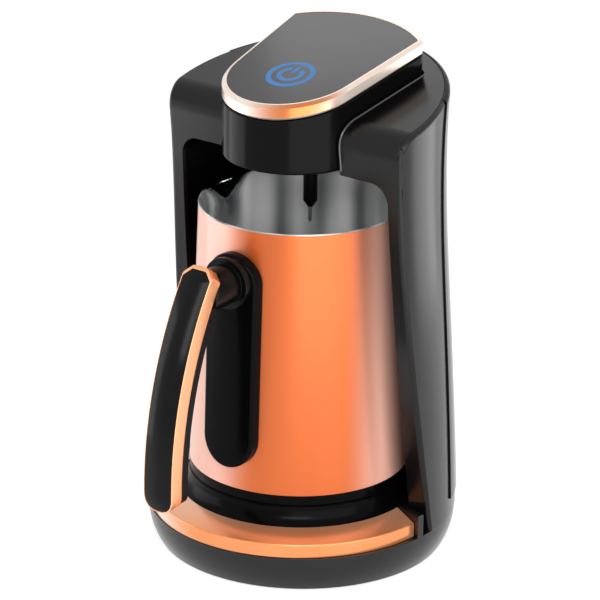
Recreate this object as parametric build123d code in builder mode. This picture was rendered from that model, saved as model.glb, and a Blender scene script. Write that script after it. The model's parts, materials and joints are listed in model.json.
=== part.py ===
"""Electric coffee maker for a small tall pot: a hooded stand and a plug-in pot.

Frame: +Z up, origin on the axis of the base at the plane that its feet rest on.
The machine's front is towards -Y, and the pot is drawn out that way by its handle.
All sizes are in millimetres.
"""

import os
from math import atan, cos, degrees, radians, sin, tan

from build123d import *

os.makedirs("parts", exist_ok=True)

# ---------------------------------------------------------------- fits and walls
SEAT = 0.1  # gap between two pieces that are fastened together
RUN = 0.4  # gap between two pieces that move past each other
WALL = 2.4  # moulded wall of the stand

# ---------------------------------------------------------------- base
FOOT_HEIGHT = 0.8  # the feet carry the base this far above the table
BASE_CENTRE_Y = 2.6  # the base is centred a little behind the pot's axis
BASE_RADIUS = 72.5  # at the ledge
BASE_HEEL_RADIUS = 67.6  # radius of the lower edge, where the side rounds under
BASE_ROUND = (71.3, 9.0)  # radius and height of a point on the rounded side
LEDGE_HEIGHT = 18.0  # the ledge that carries the trim and the hood
TRIM_OUTER_RADIUS = 69.6
TRIM_INNER_RADIUS = 56.2
TRIM_RIM_HEIGHT = 24.7  # height of the outer upper edge of the trim
TRIM_CROWN_HEIGHT = 27.5  # height of its inner edge
TRIM_THICKNESS = 2.0
TRIM_END = (69.55, -2.6)  # outer corner of each end
TRIM_END_TURN = 20.0  # the ends' cut is turned this far from the X axis
PLINTH_TOP = 36.0
PLINTH_TOP_RADIUS = 50.4
PLINTH_WALL = 2.2
SHELF_HEIGHT = 22.6  # ring inside the tub that carries the plinth
SHELF_RADIUS = 51.0
BOTTOM_PLATE_THICKNESS = 2.2
FOOT_RADIUS = 7.0
FOOT_CIRCLE = 50.0
FOOT_STEM = 3.0
SCREW_CIRCLE = 58.0
SCREW_SHANK = 1.5
SCREW_HEAD = 2.9
SCREW_HEAD_DEPTH = 1.4
BOSS_WALL = 2.0
POST_HEIGHT = 4.2
BOARD_THICKNESS = 1.6
BOARD_SIZE = (64.0, 46.0)
GLAND_HEIGHT = 10.2
GLAND_RADIUS = 5.0
GLAND_BORE = 3.3
GLAND_LENGTH = 8.5
GLAND_PROUD = 1.5  # the gland's end stands this far behind the base
GLAND_LIP = 1.6
RIDGE_GAP = 0.3  # between the trim's cut end and the ridge beside it
RIDGE_WIDTH = 3.7
RIDGE_TOP = 29.0
RIDGE_ROUND = 0.8
RIDGE_SPAN = (-20.0, 10.0)  # from inside the niche to past the base's edge

# ---------------------------------------------------------------- hood
HOOD_PROFILE = (  # radius and height along the hood's skin, waisted high up
    (72.8, 0.0),
    (71.6, 60.0),
    (69.3, 115.0),
    (67.1, 182.0),
    (69.9, 236.0),
)
CROWN_HEIGHT = HOOD_PROFILE[-1][1]
HOOD_LEAN = 1.75  # degrees that the hood's axis leans forward
HOOD_AXIS_Y = 3.2  # where that axis meets the table
RIM_ZONE = 55.0  # edges further out than this lie along the hood's rim
TOP_TILT = 12.5  # degrees, down towards the front
DECK_HEIGHT = 215.6  # height of the tilted top on the axis
DECK_RADIUS = 66.0  # seam between the deck and the skin around it
DECK_CENTRE_Y = -2.0
FACE_TOP = (-14.2, 189.6)  # y and z on the face, which sweeps back as it goes down
FACE_MID = (-7.1, 107.0)
FACE_FOOT = (6.1, 18.0)
FACE_LEAN = 0.08  # above FACE_TOP it leans forward by this much per millimetre
BROW_RADIUS = 12.0  # rounding between the front face and the deck
EDGE_ROUND = 2.0
FACE_EDGE = 1.4  # thickness that the front frame shows at the sides
REAR_SEAM_ANGLE = 22.0  # behind the X axis
COVER_FOOT = 26.0  # the rear cover ends here, above the base's skirt
COVER_PROUD = 0.8  # the rear cover stands this much outside the sides
SEAM = 0.25  # width of a visible seam

# ---------------------------------------------------------------- niche
NICHE_HALF_WIDTH = 62.4  # at the height of the plug
NICHE_SLOPE = 0.0244  # the cheeks close in by this much per millimetre going up
NICHE_TOP = 189.6
NICHE_CORNER = 9.0
NICHE_CENTRE_Y = -8.1
LINER_WALL = 2.0

SOCKET_HEIGHT = 44.0  # height of the plug's pins
SOCKET_WINDOW = (30.0, 16.0)
PIN_PITCH = 8.0
PLUG_PIN_RADIUS = 1.6
CONTACT_RADIUS = 2.8

# ---------------------------------------------------------------- head
NOSE_RADIUS = 33.0
NOSE_Y = -5.5
HEAD_CORNER_X = 37.5
HEAD_CORNER_Y = 41.5
HEAD_BACK_Y = 54.0
HEAD_BOTTOM = 191.0
HEAD_WALL = 2.2
BAND_TOP = 230.0  # height of the tilted planes over the nose centre
BAND_HEIGHT = 7.1
BAND_WALL = 2.2
BAND_CHAMFER = 1.4
PANEL_THICKNESS = 2.6
HEAD_GROOVE = 0.9  # crevice between the head and the hood
TOUCH_Y = -8.6
TOUCH_RADIUS = 11.5

# ---------------------------------------------------------------- sensor
PIVOT_Y = 7.0
PIVOT_Z = 197.0
ARM_RADIUS = 3.35
ARM_END = 165.0
CONE_END = 162.0
TIP_END = 154.5
TIP_RADIUS = 0.9
PIN_RADIUS = 1.25
TIP_SEAT = 4.0  # depth of the tip in the arm
EAR_X = 5.6  # ears that hold the pivot pin
EAR_THICKNESS = 2.2
SLOT_LENGTH = 24.0  # slot in the head's floor that the arm swings through

# ---------------------------------------------------------------- pot
POT_FOOT_RADIUS = 51.4
POT_FOOT_HEIGHT = 40.9
RIM_RADIUS = 47.2
RIM_HEIGHT = 166.7
SLEEVE_WALL = 1.0
VESSEL_WALL = 1.0
AIR_GAP = 1.2  # between the copper sleeve and the steel vessel
VESSEL_FLOOR = 54.0
VESSEL_ROUND = 7.0  # inside rounding between the floor and the wall
LIP_HEIGHT = 0.6  # the steel lip covers the sleeve's upper edge
COLLAR_FOOT = 36.3
COLLAR_RADIUS = 51.2
COLLAR_FLANGE = (47.6, 46.0)  # inner radius and top of the ring inside the sleeve
COLLAR_HOLE = 36.0  # the pot's cover closes this hole
COVER_RADIUS = 39.8
COVER_THICKNESS = 2.0
COVER_SCREW_CIRCLE = 37.8
SPOUT_ROOT = (-40.0, 17.2, 15.0)  # x, half width and depth of the V inside the wall
SPOUT_TIP = (-55.7, 3.4, 3.0)
SPOUT_ROUND = 3.6  # rounding along the bottom of the V
PLUG_HALF_WIDTH = 10.5
PLUG_LOW = 40.4
PLUG_HIGH = 47.6
PLUG_FACE_Y = 53.6
PLUG_FLANGE = (26.0, 50.5)  # width and top of the plug's outer flange
PLUG_PIN_END = 63.0
HEATER_RADIUS = 44.0
HEATER_THICKNESS = 3.5
ELEMENT_RADIUS = 30.0
ELEMENT_TUBE = 3.2
THERMOSTAT_RADIUS = 9.0

# ---------------------------------------------------------------- handle
BOSS_HEIGHT = 142.0
BOSS_RADIUS = 9.4
BOSS_RING = (12.0, 2.2)  # radius and length of the ring against the mount
MOUNT_WIDTH = 28.0
MOUNT_TOP = 155.0
MOUNT_BOTTOM = 52.0
MOUNT_PROUD = 5.2
STUD_RADIUS = 2.0
GRIP_CENTRE = (77.6, 54.3)  # y and z of the axis that the grip bends round
GRIP_RADIUS = 181.4
GRIP_START = 146.1  # degrees from +Y, upper end
GRIP_STOP = 182.6  # lower end
GRIP_HALF_WIDTH = 8.2
TRIM_DEPTH = 7.2  # thickness of the copper frame along the grip
CORE_DEPTH = 12.6
CORE_HALF_WIDTH = 7.2
PANEL_DEPTH = 3.0  # the black panel lies in the frame this deep
PANEL_PROUD = 0.9
PANEL_SIDE = 0.8  # width of the frame that shows beside the panel
PANEL_TOP = 3.0  # and above it
END_ROUND = 6.0  # rounding of the grip's lower end seen from the front
END_CUT = 0.68  # the corners of its upper end are cut by this share of the rounding

TILT = tan(radians(TOP_TILT))
POT_LEAN = (POT_FOOT_RADIUS - RIM_RADIUS) / (RIM_HEIGHT - POT_FOOT_HEIGHT)
SEAM_ROOM = 30.0  # cutters reach this much past what they cut


# ---------------------------------------------------------------- shared shapes
def deck_z(y):
    """Height of the tilted deck at y."""
    return DECK_HEIGHT + TILT * y


def band_z(y):
    """Height of the tilted top of the head band at y."""
    return BAND_TOP + TILT * (y - NOSE_Y)


def pot_radius(z):
    """Outer radius of the tapered copper sleeve at height z."""
    return RIM_RADIUS + POT_LEAN * (RIM_HEIGHT - z)


def waist_body(inset):
    """Solid inside the hood's skin: a waisted body on an axis that leans forward."""
    with BuildPart() as body:
        with BuildSketch(Plane.XZ):
            with BuildLine():
                skin = Spline(*[(radius - inset, z) for radius, z in HOOD_PROFILE])
                Polyline(skin @ 1, (0, CROWN_HEIGHT), (0, 0), skin @ 0)
            make_face()
        revolve(axis=Axis.Z)
    return Pos(0, HOOD_AXIS_Y, 0) * Rot(HOOD_LEAN, 0, 0) * body.part


def hood_wedge(front_gap, top_gap, brow):
    """Block behind the curved face and below the tilted deck, set in by the gaps."""
    reach = BASE_RADIUS + SEAM_ROOM
    points = [(y + front_gap, z) for y, z in (FACE_FOOT, FACE_MID, FACE_TOP)]
    corner_y = points[2][0] - FACE_LEAN * (deck_z(FACE_TOP[0]) - FACE_TOP[1])
    corner = (corner_y, deck_z(corner_y) - top_gap)
    with BuildPart() as wedge:
        with BuildSketch(Plane.YZ):
            with BuildLine():
                ThreePointArc(*points)
                Polyline(
                    points[2],
                    corner,
                    (reach, deck_z(reach) - top_gap),
                    (reach, FACE_FOOT[1]),
                    points[0],
                )
            make_face()
            fillet(vertices().sort_by(Axis.X)[0], radius=brow)
        extrude(amount=reach, both=True)
    return wedge.part


def rear_sector(angle, gap):
    """Cutter that holds all that lies behind the two rear seams."""
    reach = BASE_RADIUS + SEAM_ROOM
    slope = tan(radians(angle))
    with BuildPart() as sector:
        with BuildSketch(Plane.XY):
            with BuildLine():
                Polyline(
                    (0, gap),
                    (reach, gap + reach * slope),
                    (reach, 2 * reach),
                    (-reach, 2 * reach),
                    (-reach, gap + reach * slope),
                    close=True,
                )
            make_face()
        extrude(amount=CROWN_HEIGHT + SEAM_ROOM)
    return sector.part


def niche_plan(half):
    """Plan of the niche: straight cheeks this far apart, with a half-round back."""
    front = -BASE_RADIUS - SEAM_ROOM
    with BuildSketch() as plan:
        with BuildLine():
            Line((-half, NICHE_CENTRE_Y), (-half, front))
            Line((-half, front), (half, front))
            Line((half, front), (half, NICHE_CENTRE_Y))
            ThreePointArc(
                (half, NICHE_CENTRE_Y), (0, NICHE_CENTRE_Y + half), (-half, NICHE_CENTRE_Y)
            )
        make_face()
    return plan.sketch


def niche_block(grow, top, foot):
    """Solid of the niche's space, rounded along its upper edge."""
    half = NICHE_HALF_WIDTH + NICHE_SLOPE * (SOCKET_HEIGHT - foot)
    with BuildPart() as block:
        add(niche_plan(half + grow))
        extrude(amount=top - foot, taper=degrees(atan(NICHE_SLOPE)))
        crown = faces().sort_by(Axis.Z)[-1].edges()
        fillet(crown, radius=NICHE_CORNER + grow)
    return Pos(0, 0, foot) * block.part


def head_plan(inset):
    """Plan of the head: round nose, flared cheeks and a wide round back."""
    flare = atan((HEAD_CORNER_X - NOSE_RADIUS) / (HEAD_CORNER_Y - NOSE_Y))
    nose = (NOSE_RADIUS * cos(flare), NOSE_Y - NOSE_RADIUS * sin(flare))
    with BuildSketch() as plan:
        with BuildLine():
            Line(nose, (HEAD_CORNER_X, HEAD_CORNER_Y))
            ThreePointArc(
                (HEAD_CORNER_X, HEAD_CORNER_Y),
                (0, HEAD_BACK_Y),
                (-HEAD_CORNER_X, HEAD_CORNER_Y),
            )
            Line((-HEAD_CORNER_X, HEAD_CORNER_Y), (-nose[0], nose[1]))
            ThreePointArc((-nose[0], nose[1]), (0, NOSE_Y - NOSE_RADIUS), nose)
        make_face()
        corners = vertices().group_by(Axis.Y)[-1]
        fillet(corners, radius=3.0)
        if inset:
            offset(amount=-inset)
    return plan.sketch


def head_slab(inset, bottom_drop, top_drop):
    """Slice of the head between two tilted planes, measured down from the band's top."""
    tall = CROWN_HEIGHT + SEAM_ROOM
    top = Plane(origin=(0, 0, band_z(0) - top_drop), z_dir=(0, -TILT, 1))
    with BuildPart() as slab:
        add(head_plan(inset))
        extrude(amount=tall)
        split(bisect_by=top, keep=Keep.BOTTOM)
        if bottom_drop:
            low = Plane(origin=(0, 0, band_z(0) - bottom_drop), z_dir=(0, -TILT, 1))
            split(bisect_by=low, keep=Keep.TOP)
    return slab.part


def cone_shell(outer, inner, low, high):
    """Ring that follows the pot's taper between two heights, by gaps from its face."""
    with BuildPart() as ring:
        with BuildSketch(Plane.XZ):
            with BuildLine():
                Polyline(
                    (pot_radius(low) + inner, low),
                    (pot_radius(low) + outer, low),
                    (pot_radius(high) + outer, high),
                    (pot_radius(high) + inner, high),
                    close=True,
                )
            make_face()
        revolve(axis=Axis.Z)
    return ring.part


def keep_part(piece, name):
    """Label a finished piece and write its STEP file."""
    piece.label = name
    export_step(piece, f"parts/{name}.step")
    print(f"{name}: {piece.volume / 1000:.1f} cm3")


# ---------------------------------------------------------------- base: tub, trim, plinth
def tub_ring():
    """Upper ring of the tub under the trim: wall, sloping deck and plinth shelf."""
    ledge_in = TRIM_OUTER_RADIUS - TRIM_THICKNESS - SEAT
    deck_out = TRIM_RIM_HEIGHT - TRIM_THICKNESS - SEAT
    deck_in = TRIM_CROWN_HEIGHT - TRIM_THICKNESS - SEAT
    wall_in = ledge_in - WALL
    with BuildPart() as ring:
        with BuildSketch(Plane.XZ):
            with BuildLine():
                Polyline(
                    (ledge_in, LEDGE_HEIGHT - WALL),
                    (ledge_in, deck_out),
                    (TRIM_INNER_RADIUS, deck_in),
                    (TRIM_INNER_RADIUS, SHELF_HEIGHT),
                    (SHELF_RADIUS, SHELF_HEIGHT),
                    (SHELF_RADIUS, SHELF_HEIGHT - WALL),
                    (wall_in - WALL, SHELF_HEIGHT - WALL),
                    (wall_in, deck_out - 2 * WALL),
                    (wall_in, LEDGE_HEIGHT - WALL),
                    close=True,
                )
            make_face()
        revolve(axis=Axis.Z)
    return ring.part


def tub_bowl():
    """Outer skin of the tub: rounded heel, side and ledge, open in the middle."""
    heel_in = BASE_HEEL_RADIUS - WALL
    ledge_in = TRIM_OUTER_RADIUS - TRIM_THICKNESS - WALL - BASE_CENTRE_Y
    step = LEDGE_HEIGHT - WALL
    with BuildPart() as bowl:
        with BuildSketch(Plane.XZ):
            with BuildLine():
                heel = (BASE_HEEL_RADIUS, FOOT_HEIGHT)
                edge = (BASE_RADIUS, LEDGE_HEIGHT)
                ThreePointArc(heel, BASE_ROUND, edge)
                Polyline(
                    edge,
                    (ledge_in, LEDGE_HEIGHT),
                    (ledge_in, step),
                    (BASE_RADIUS - WALL, step),
                    (BASE_ROUND[0] - WALL, BASE_ROUND[1]),
                    (heel_in, FOOT_HEIGHT + WALL),
                    (heel_in, FOOT_HEIGHT),
                    heel,
                )
            make_face()
        revolve(axis=Axis.Z)
    return Pos(0, BASE_CENTRE_Y, 0) * bowl.part


def base_body(grow):
    """Solid inside the tub's outer skin, grown outwards, for trimming against it."""
    with BuildPart() as body:
        with BuildSketch(Plane.XZ):
            with BuildLine():
                heel = (BASE_HEEL_RADIUS + grow, FOOT_HEIGHT)
                edge = (BASE_RADIUS + grow, LEDGE_HEIGHT)
                ThreePointArc(heel, (BASE_ROUND[0] + grow, BASE_ROUND[1]), edge)
                Polyline(edge, (0, LEDGE_HEIGHT), (0, FOOT_HEIGHT), heel)
            make_face()
        revolve(axis=Axis.Z)
    return Pos(0, BASE_CENTRE_Y, 0) * body.part


def tub_block():
    """Solid that fills the tub up to its deck, for trimming what stands on it."""
    reach = BASE_RADIUS + SEAM_ROOM
    with BuildPart() as block:
        with BuildSketch(Plane.XZ):
            with BuildLine():
                deck_in = TRIM_CROWN_HEIGHT - TRIM_THICKNESS
                deck_out = TRIM_RIM_HEIGHT - TRIM_THICKNESS
                Polyline(
                    (0, 0),
                    (reach, 0),
                    (reach, LEDGE_HEIGHT + SEAT),
                    (TRIM_OUTER_RADIUS - TRIM_THICKNESS, LEDGE_HEIGHT + SEAT),
                    (TRIM_OUTER_RADIUS - TRIM_THICKNESS, deck_out),
                    (TRIM_INNER_RADIUS, deck_in),
                    (0, deck_in),
                    close=True,
                )
            make_face()
        revolve(axis=Axis.Z)
    return block.part


def cylinder_block(radius, low, high):
    """Plain cutter on the axis between two heights."""
    with BuildPart() as block:
        with BuildSketch(Plane.XY.offset(low)):
            Circle(radius)
        extrude(amount=high - low)
    return block.part


TOP = CROWN_HEIGHT + SEAM_ROOM
deck_low = NICHE_TOP + NICHE_CORNER
on_tub = tub_block()

# The hood is one shell, which the seams then cut into frame, sides and rear cover.
with BuildPart() as hood:
    add(waist_body(0))
    add(hood_wedge(0, 0, BROW_RADIUS), mode=Mode.INTERSECT)
    outline = [
        e
        for e in hood.edges()
        if abs(e.center().X) > RIM_ZONE and e.center().Z > LEDGE_HEIGHT + 1
        or e.center().Y > RIM_ZONE and e.center().Z > deck_low
    ]
    fillet(outline, radius=EDGE_ROUND)
with BuildPart() as hood_core:
    add(waist_body(WALL))
    add(hood_wedge(WALL, WALL, BROW_RADIUS - WALL), mode=Mode.INTERSECT)
with BuildPart() as hood_shell:
    add(hood.part)
    add(hood_core.part, mode=Mode.SUBTRACT)


def deck_disc(radius):
    """Upright cylinder over the deck, whose wall is the seam round it."""
    return Pos(0, DECK_CENTRE_Y, 0) * cylinder_block(radius, deck_low, TOP)


def side_zone(gap, deck_radius, wall):
    """Space of the side and rear walls: behind the face, outside the deck's seam."""
    with BuildPart() as zone:
        add(hood_wedge(gap, -SEAM_ROOM, BROW_RADIUS))
        add(deck_disc(deck_radius), mode=Mode.SUBTRACT)
        add(
            waist_body(wall) & cylinder_block(2 * BASE_RADIUS, -SEAM_ROOM, deck_low),
            mode=Mode.SUBTRACT,
        )
    return zone.part


def niche_ring(foot):
    """Walls and ceiling of the niche as one open shell."""
    with BuildPart() as ring:
        add(niche_block(LINER_WALL, NICHE_TOP + LINER_WALL, foot))
        add(niche_block(0, NICHE_TOP, foot - SEAM_ROOM), mode=Mode.SUBTRACT)
    return ring.part


def head_column(inset, low, high):
    """Straight column of the head's plan between two heights."""
    with BuildPart() as column:
        with BuildSketch(Plane.XY.offset(low)):
            add(head_plan(inset))
        extrude(amount=high - low)
    return column.part


# ---------------------------------------------------------------- hood pieces
with BuildPart() as front_frame:
    add(hood_shell.part)
    add(side_zone(FACE_EDGE, DECK_RADIUS - SEAM, WALL + SEAT), mode=Mode.SUBTRACT)
    add(niche_block(0, NICHE_TOP, 0), mode=Mode.SUBTRACT)
    add(head_column(-HEAD_GROOVE, HEAD_BOTTOM - SEAM_ROOM, TOP), mode=Mode.SUBTRACT)
    add(on_tub, mode=Mode.SUBTRACT)
keep_part(front_frame.part, "front_frame")

with BuildPart() as skin:
    add(hood_shell.part)
    add(side_zone(FACE_EDGE + SEAM, DECK_RADIUS, WALL), mode=Mode.INTERSECT)

with BuildPart() as cover_zone:
    add(rear_sector(REAR_SEAM_ANGLE, -SEAM))
    add(cylinder_block(TOP, 0, COVER_FOOT), mode=Mode.SUBTRACT)

with BuildPart() as sides:
    add(skin.part)
    add(cover_zone.part, mode=Mode.SUBTRACT)

base_back = BASE_CENTRE_Y + BASE_RADIUS
boss_top = SHELF_HEIGHT - WALL / 2
plate_top = FOOT_HEIGHT + BOTTOM_PLATE_THICKNESS + SEAT
with BuildPart() as tub:
    add(tub_ring())
    add(tub_bowl())
    with BuildSketch(Plane.XY.offset(plate_top)):
        with PolarLocations(SCREW_CIRCLE, 4):
            Circle(SCREW_SHANK + BOSS_WALL)
    extrude(amount=boss_top - plate_top)
    with BuildSketch(Plane.XY.offset(plate_top)):
        with PolarLocations(SCREW_CIRCLE, 4):
            Circle(SCREW_SHANK + SEAT / 2)
    extrude(amount=boss_top - plate_top - WALL, mode=Mode.SUBTRACT)
    with BuildSketch(Plane.XZ.offset(-base_back - 2)):
        with Locations((0, GLAND_HEIGHT)):
            Circle(GLAND_RADIUS + SEAT)
    extrude(amount=SEAM_ROOM / 2, mode=Mode.SUBTRACT)

with BuildPart() as body_shell:
    add(tub.part)
    add(sides.part)
keep_part(body_shell.part, "body_shell")

with BuildPart() as rear_cover:
    add(waist_body(-COVER_PROUD))
    add(hood_wedge(0, 0, BROW_RADIUS), mode=Mode.INTERSECT)
    crown_edge = [e for e in rear_cover.edges() if e.center().Y > RIM_ZONE]
    crown_edge = [e for e in crown_edge if e.center().Z > deck_low]
    fillet(crown_edge, radius=EDGE_ROUND)
    add(hood_core.part, mode=Mode.SUBTRACT)
    add(rear_sector(REAR_SEAM_ANGLE, 0), mode=Mode.INTERSECT)
    add(cylinder_block(TOP, 0, COVER_FOOT + SEAM), mode=Mode.SUBTRACT)
    add(deck_disc(DECK_RADIUS), mode=Mode.SUBTRACT)
    add(niche_block(0, NICHE_TOP, 0), mode=Mode.SUBTRACT)
keep_part(rear_cover.part, "rear_cover")

with BuildPart() as niche_liner:
    add(niche_ring(LEDGE_HEIGHT))
    add(hood_wedge(WALL + SEAT, WALL, BROW_RADIUS - WALL), mode=Mode.INTERSECT)
    add(head_column(-RUN, HEAD_BOTTOM - SEAM_ROOM, TOP), mode=Mode.SUBTRACT)
    add(on_tub, mode=Mode.SUBTRACT)
    with BuildSketch(Plane.XZ.offset(-NICHE_HALF_WIDTH - SEAM_ROOM)):
        with Locations((0, SOCKET_HEIGHT)):
            Rectangle(SOCKET_WINDOW[0], SOCKET_WINDOW[1])
    extrude(amount=NICHE_HALF_WIDTH, mode=Mode.SUBTRACT)
keep_part(niche_liner.part, "niche_liner")

# ---------------------------------------------------------------- base pieces
with BuildPart() as base_trim:
    with BuildSketch(Plane.XZ):
        with BuildLine():
            Polyline(
                (TRIM_OUTER_RADIUS - TRIM_THICKNESS, LEDGE_HEIGHT + SEAT),
                (TRIM_OUTER_RADIUS, LEDGE_HEIGHT + SEAT),
                (TRIM_OUTER_RADIUS, TRIM_RIM_HEIGHT),
                (TRIM_INNER_RADIUS, TRIM_CROWN_HEIGHT),
                (TRIM_INNER_RADIUS, TRIM_CROWN_HEIGHT - TRIM_THICKNESS),
                (
                    TRIM_OUTER_RADIUS - TRIM_THICKNESS,
                    TRIM_RIM_HEIGHT - TRIM_THICKNESS,
                ),
                close=True,
            )
        make_face()
    revolve(axis=Axis.Z)
    for side in (-1, 1):
        end = (side * TRIM_END[0], TRIM_END[1], 0)
        across = (side * sin(radians(TRIM_END_TURN)), cos(radians(TRIM_END_TURN)), 0)
        split(bisect_by=Plane(origin=end, z_dir=across), keep=Keep.BOTTOM)
keep_part(base_trim.part, "base_trim")

with BuildPart() as plinth:
    with BuildSketch(Plane.XZ):
        with BuildLine():
            foot = TRIM_INNER_RADIUS - SEAT
            shoulder = PLINTH_TOP_RADIUS + 1.2
            inner = PLINTH_TOP_RADIUS - PLINTH_WALL
            Polyline(
                (foot - PLINTH_WALL, TRIM_CROWN_HEIGHT - 1.2),
                (foot - PLINTH_WALL, SHELF_HEIGHT),
                (foot, SHELF_HEIGHT),
                (foot, TRIM_CROWN_HEIGHT - 0.3),
            )
            ThreePointArc(
                (foot, TRIM_CROWN_HEIGHT - 0.3),
                (
                    (foot + shoulder) / 2 - 0.8,
                    (TRIM_CROWN_HEIGHT + PLINTH_TOP) / 2 - 1.6,
                ),
                (shoulder, PLINTH_TOP - 1.0),
            )
            Polyline(
                (shoulder, PLINTH_TOP - 1.0),
                (PLINTH_TOP_RADIUS, PLINTH_TOP),
                (0, PLINTH_TOP),
                (0, PLINTH_TOP - PLINTH_WALL),
                (inner, PLINTH_TOP - PLINTH_WALL),
                (foot - PLINTH_WALL, TRIM_CROWN_HEIGHT - 1.2),
            )
        make_face()
    revolve(axis=Axis.Z)
    add(niche_block(-SEAT, NICHE_TOP, 0), mode=Mode.INTERSECT)
keep_part(plinth.part, "plinth")

ridge_turn = radians(TRIM_END_TURN)
ridge_mid = RIDGE_GAP + RIDGE_WIDTH / 2
with BuildPart() as end_ridges:
    for side in (-1, 1):
        near, far = [
            (
                side * (TRIM_END[0] + ridge_mid * sin(ridge_turn) + run * cos(ridge_turn)),
                TRIM_END[1] + ridge_mid * cos(ridge_turn) - run * sin(ridge_turn),
            )
            for run in RIDGE_SPAN
        ]
        with BuildSketch(Plane.XY.offset(LEDGE_HEIGHT)):
            with BuildLine():
                Line(near, far)
            trace(line_width=RIDGE_WIDTH)
        extrude(amount=RIDGE_TOP - LEDGE_HEIGHT)
    fillet(faces().group_by(Axis.Z)[-1].edges(), radius=RIDGE_ROUND)
    add(on_tub, mode=Mode.SUBTRACT)
    add(cylinder_block(TRIM_INNER_RADIUS + SEAT, 0, TOP), mode=Mode.SUBTRACT)
    add(
        Pos(0, BASE_CENTRE_Y, 0) * cylinder_block(BASE_RADIUS, 0, TOP),
        mode=Mode.INTERSECT,
    )
    add(
        hood_wedge(-SEAT, 0, BROW_RADIUS) - niche_block(-SEAT, NICHE_TOP, 0),
        mode=Mode.SUBTRACT,
    )
keep_part(end_ridges.part, "end_ridges")

with BuildPart() as bottom_plate:
    with BuildSketch(Plane.XY.offset(FOOT_HEIGHT)):
        with Locations((0, BASE_CENTRE_Y)):
            Circle(BASE_HEEL_RADIUS - WALL - SEAT)
    extrude(amount=BOTTOM_PLATE_THICKNESS)
    with BuildSketch(Plane.XY.offset(FOOT_HEIGHT + BOTTOM_PLATE_THICKNESS)):
        with GridLocations(BOARD_SIZE[0] - 8, BOARD_SIZE[1] - 8, 2, 2):
            Circle(SCREW_SHANK + BOSS_WALL)
    extrude(amount=POST_HEIGHT)
    with Locations(Plane(origin=(0, 0, FOOT_HEIGHT), z_dir=(0, 0, -1))):
        with PolarLocations(SCREW_CIRCLE, 4):
            CounterBoreHole(SCREW_SHANK + SEAT, SCREW_HEAD + SEAT, SCREW_HEAD_DEPTH)
    with BuildSketch(Plane.XY):
        with Locations((0, 0)):
            Circle(FOOT_STEM + SEAT / 2)
        with PolarLocations(FOOT_CIRCLE, 4, start_angle=45):
            Circle(FOOT_STEM + SEAT / 2)
    extrude(amount=FOOT_HEIGHT + 2 * BOTTOM_PLATE_THICKNESS, mode=Mode.SUBTRACT)
keep_part(bottom_plate.part, "bottom_plate")

with BuildPart() as rubber_feet:
    with BuildSketch():
        Circle(FOOT_RADIUS)
        with PolarLocations(FOOT_CIRCLE, 4, start_angle=45):
            Circle(FOOT_RADIUS)
    extrude(amount=FOOT_HEIGHT)
    with BuildSketch():
        Circle(FOOT_STEM)
        with PolarLocations(FOOT_CIRCLE, 4, start_angle=45):
            Circle(FOOT_STEM)
    extrude(amount=FOOT_HEIGHT + BOTTOM_PLATE_THICKNESS + 1.5)
keep_part(rubber_feet.part, "rubber_feet")

with BuildPart() as base_screws:
    head_top = FOOT_HEIGHT + SCREW_HEAD_DEPTH
    with BuildSketch(Plane.XY.offset(FOOT_HEIGHT + 0.2)):
        with PolarLocations(SCREW_CIRCLE, 4):
            Circle(SCREW_HEAD)
    extrude(amount=SCREW_HEAD_DEPTH - 0.2)
    with BuildSketch(Plane.XY.offset(head_top)):
        with PolarLocations(SCREW_CIRCLE, 4):
            Circle(SCREW_SHANK)
    extrude(amount=10)
keep_part(base_screws.part, "base_screws")

board_foot = FOOT_HEIGHT + BOTTOM_PLATE_THICKNESS + POST_HEIGHT
board_top = board_foot + BOARD_THICKNESS
with BuildPart() as power_board:
    with BuildSketch(Plane.XY.offset(board_foot)):
        Rectangle(*BOARD_SIZE)
        fillet(vertices(), radius=2.0)
    extrude(amount=BOARD_THICKNESS)
keep_part(power_board.part, "power_board")

with BuildPart() as transformer:
    with BuildSketch(Plane.XY.offset(board_top)):
        with Locations((-17, 6)):
            Rectangle(22, 20)
    extrude(amount=5)
    with BuildSketch(Plane.XY.offset(board_top + 5)):
        with Locations((-17, 6)):
            Rectangle(15, 18)
    extrude(amount=5)
keep_part(transformer.part, "transformer")

with BuildPart() as relay:
    with BuildSketch(Plane.XY.offset(board_top)):
        with Locations((14, 8)):
            Rectangle(19, 15)
    extrude(amount=10)
    chamfer(faces().sort_by(Axis.Z)[-1].edges(), length=0.6)
keep_part(relay.part, "relay")

with BuildPart() as capacitors:
    with BuildSketch(Plane.XY.offset(board_top)):
        with GridLocations(13, 0, 3, 1):
            with Locations((8, -12)):
                Circle(4.5)
    extrude(amount=10)
    fillet(faces().group_by(Axis.Z)[-1].edges(), radius=0.6)
keep_part(capacitors.part, "capacitors")

gland_end = base_back + GLAND_PROUD
with BuildPart() as cord_gland:
    with BuildSketch(Plane.XZ.offset(-gland_end)):
        with Locations((0, GLAND_HEIGHT)):
            Circle(GLAND_RADIUS + GLAND_LIP)
    extrude(amount=GLAND_LENGTH / 2)
    add(base_body(SEAT), mode=Mode.SUBTRACT)
    with BuildSketch(Plane.XZ.offset(-gland_end)):
        with Locations((0, GLAND_HEIGHT)):
            Circle(GLAND_RADIUS)
    extrude(amount=GLAND_LENGTH)
    with BuildSketch(Plane.XZ.offset(-gland_end)):
        with Locations((0, GLAND_HEIGHT)):
            Circle(GLAND_BORE)
    extrude(amount=GLAND_LENGTH, mode=Mode.SUBTRACT)
keep_part(cord_gland.part, "cord_gland")

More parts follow.
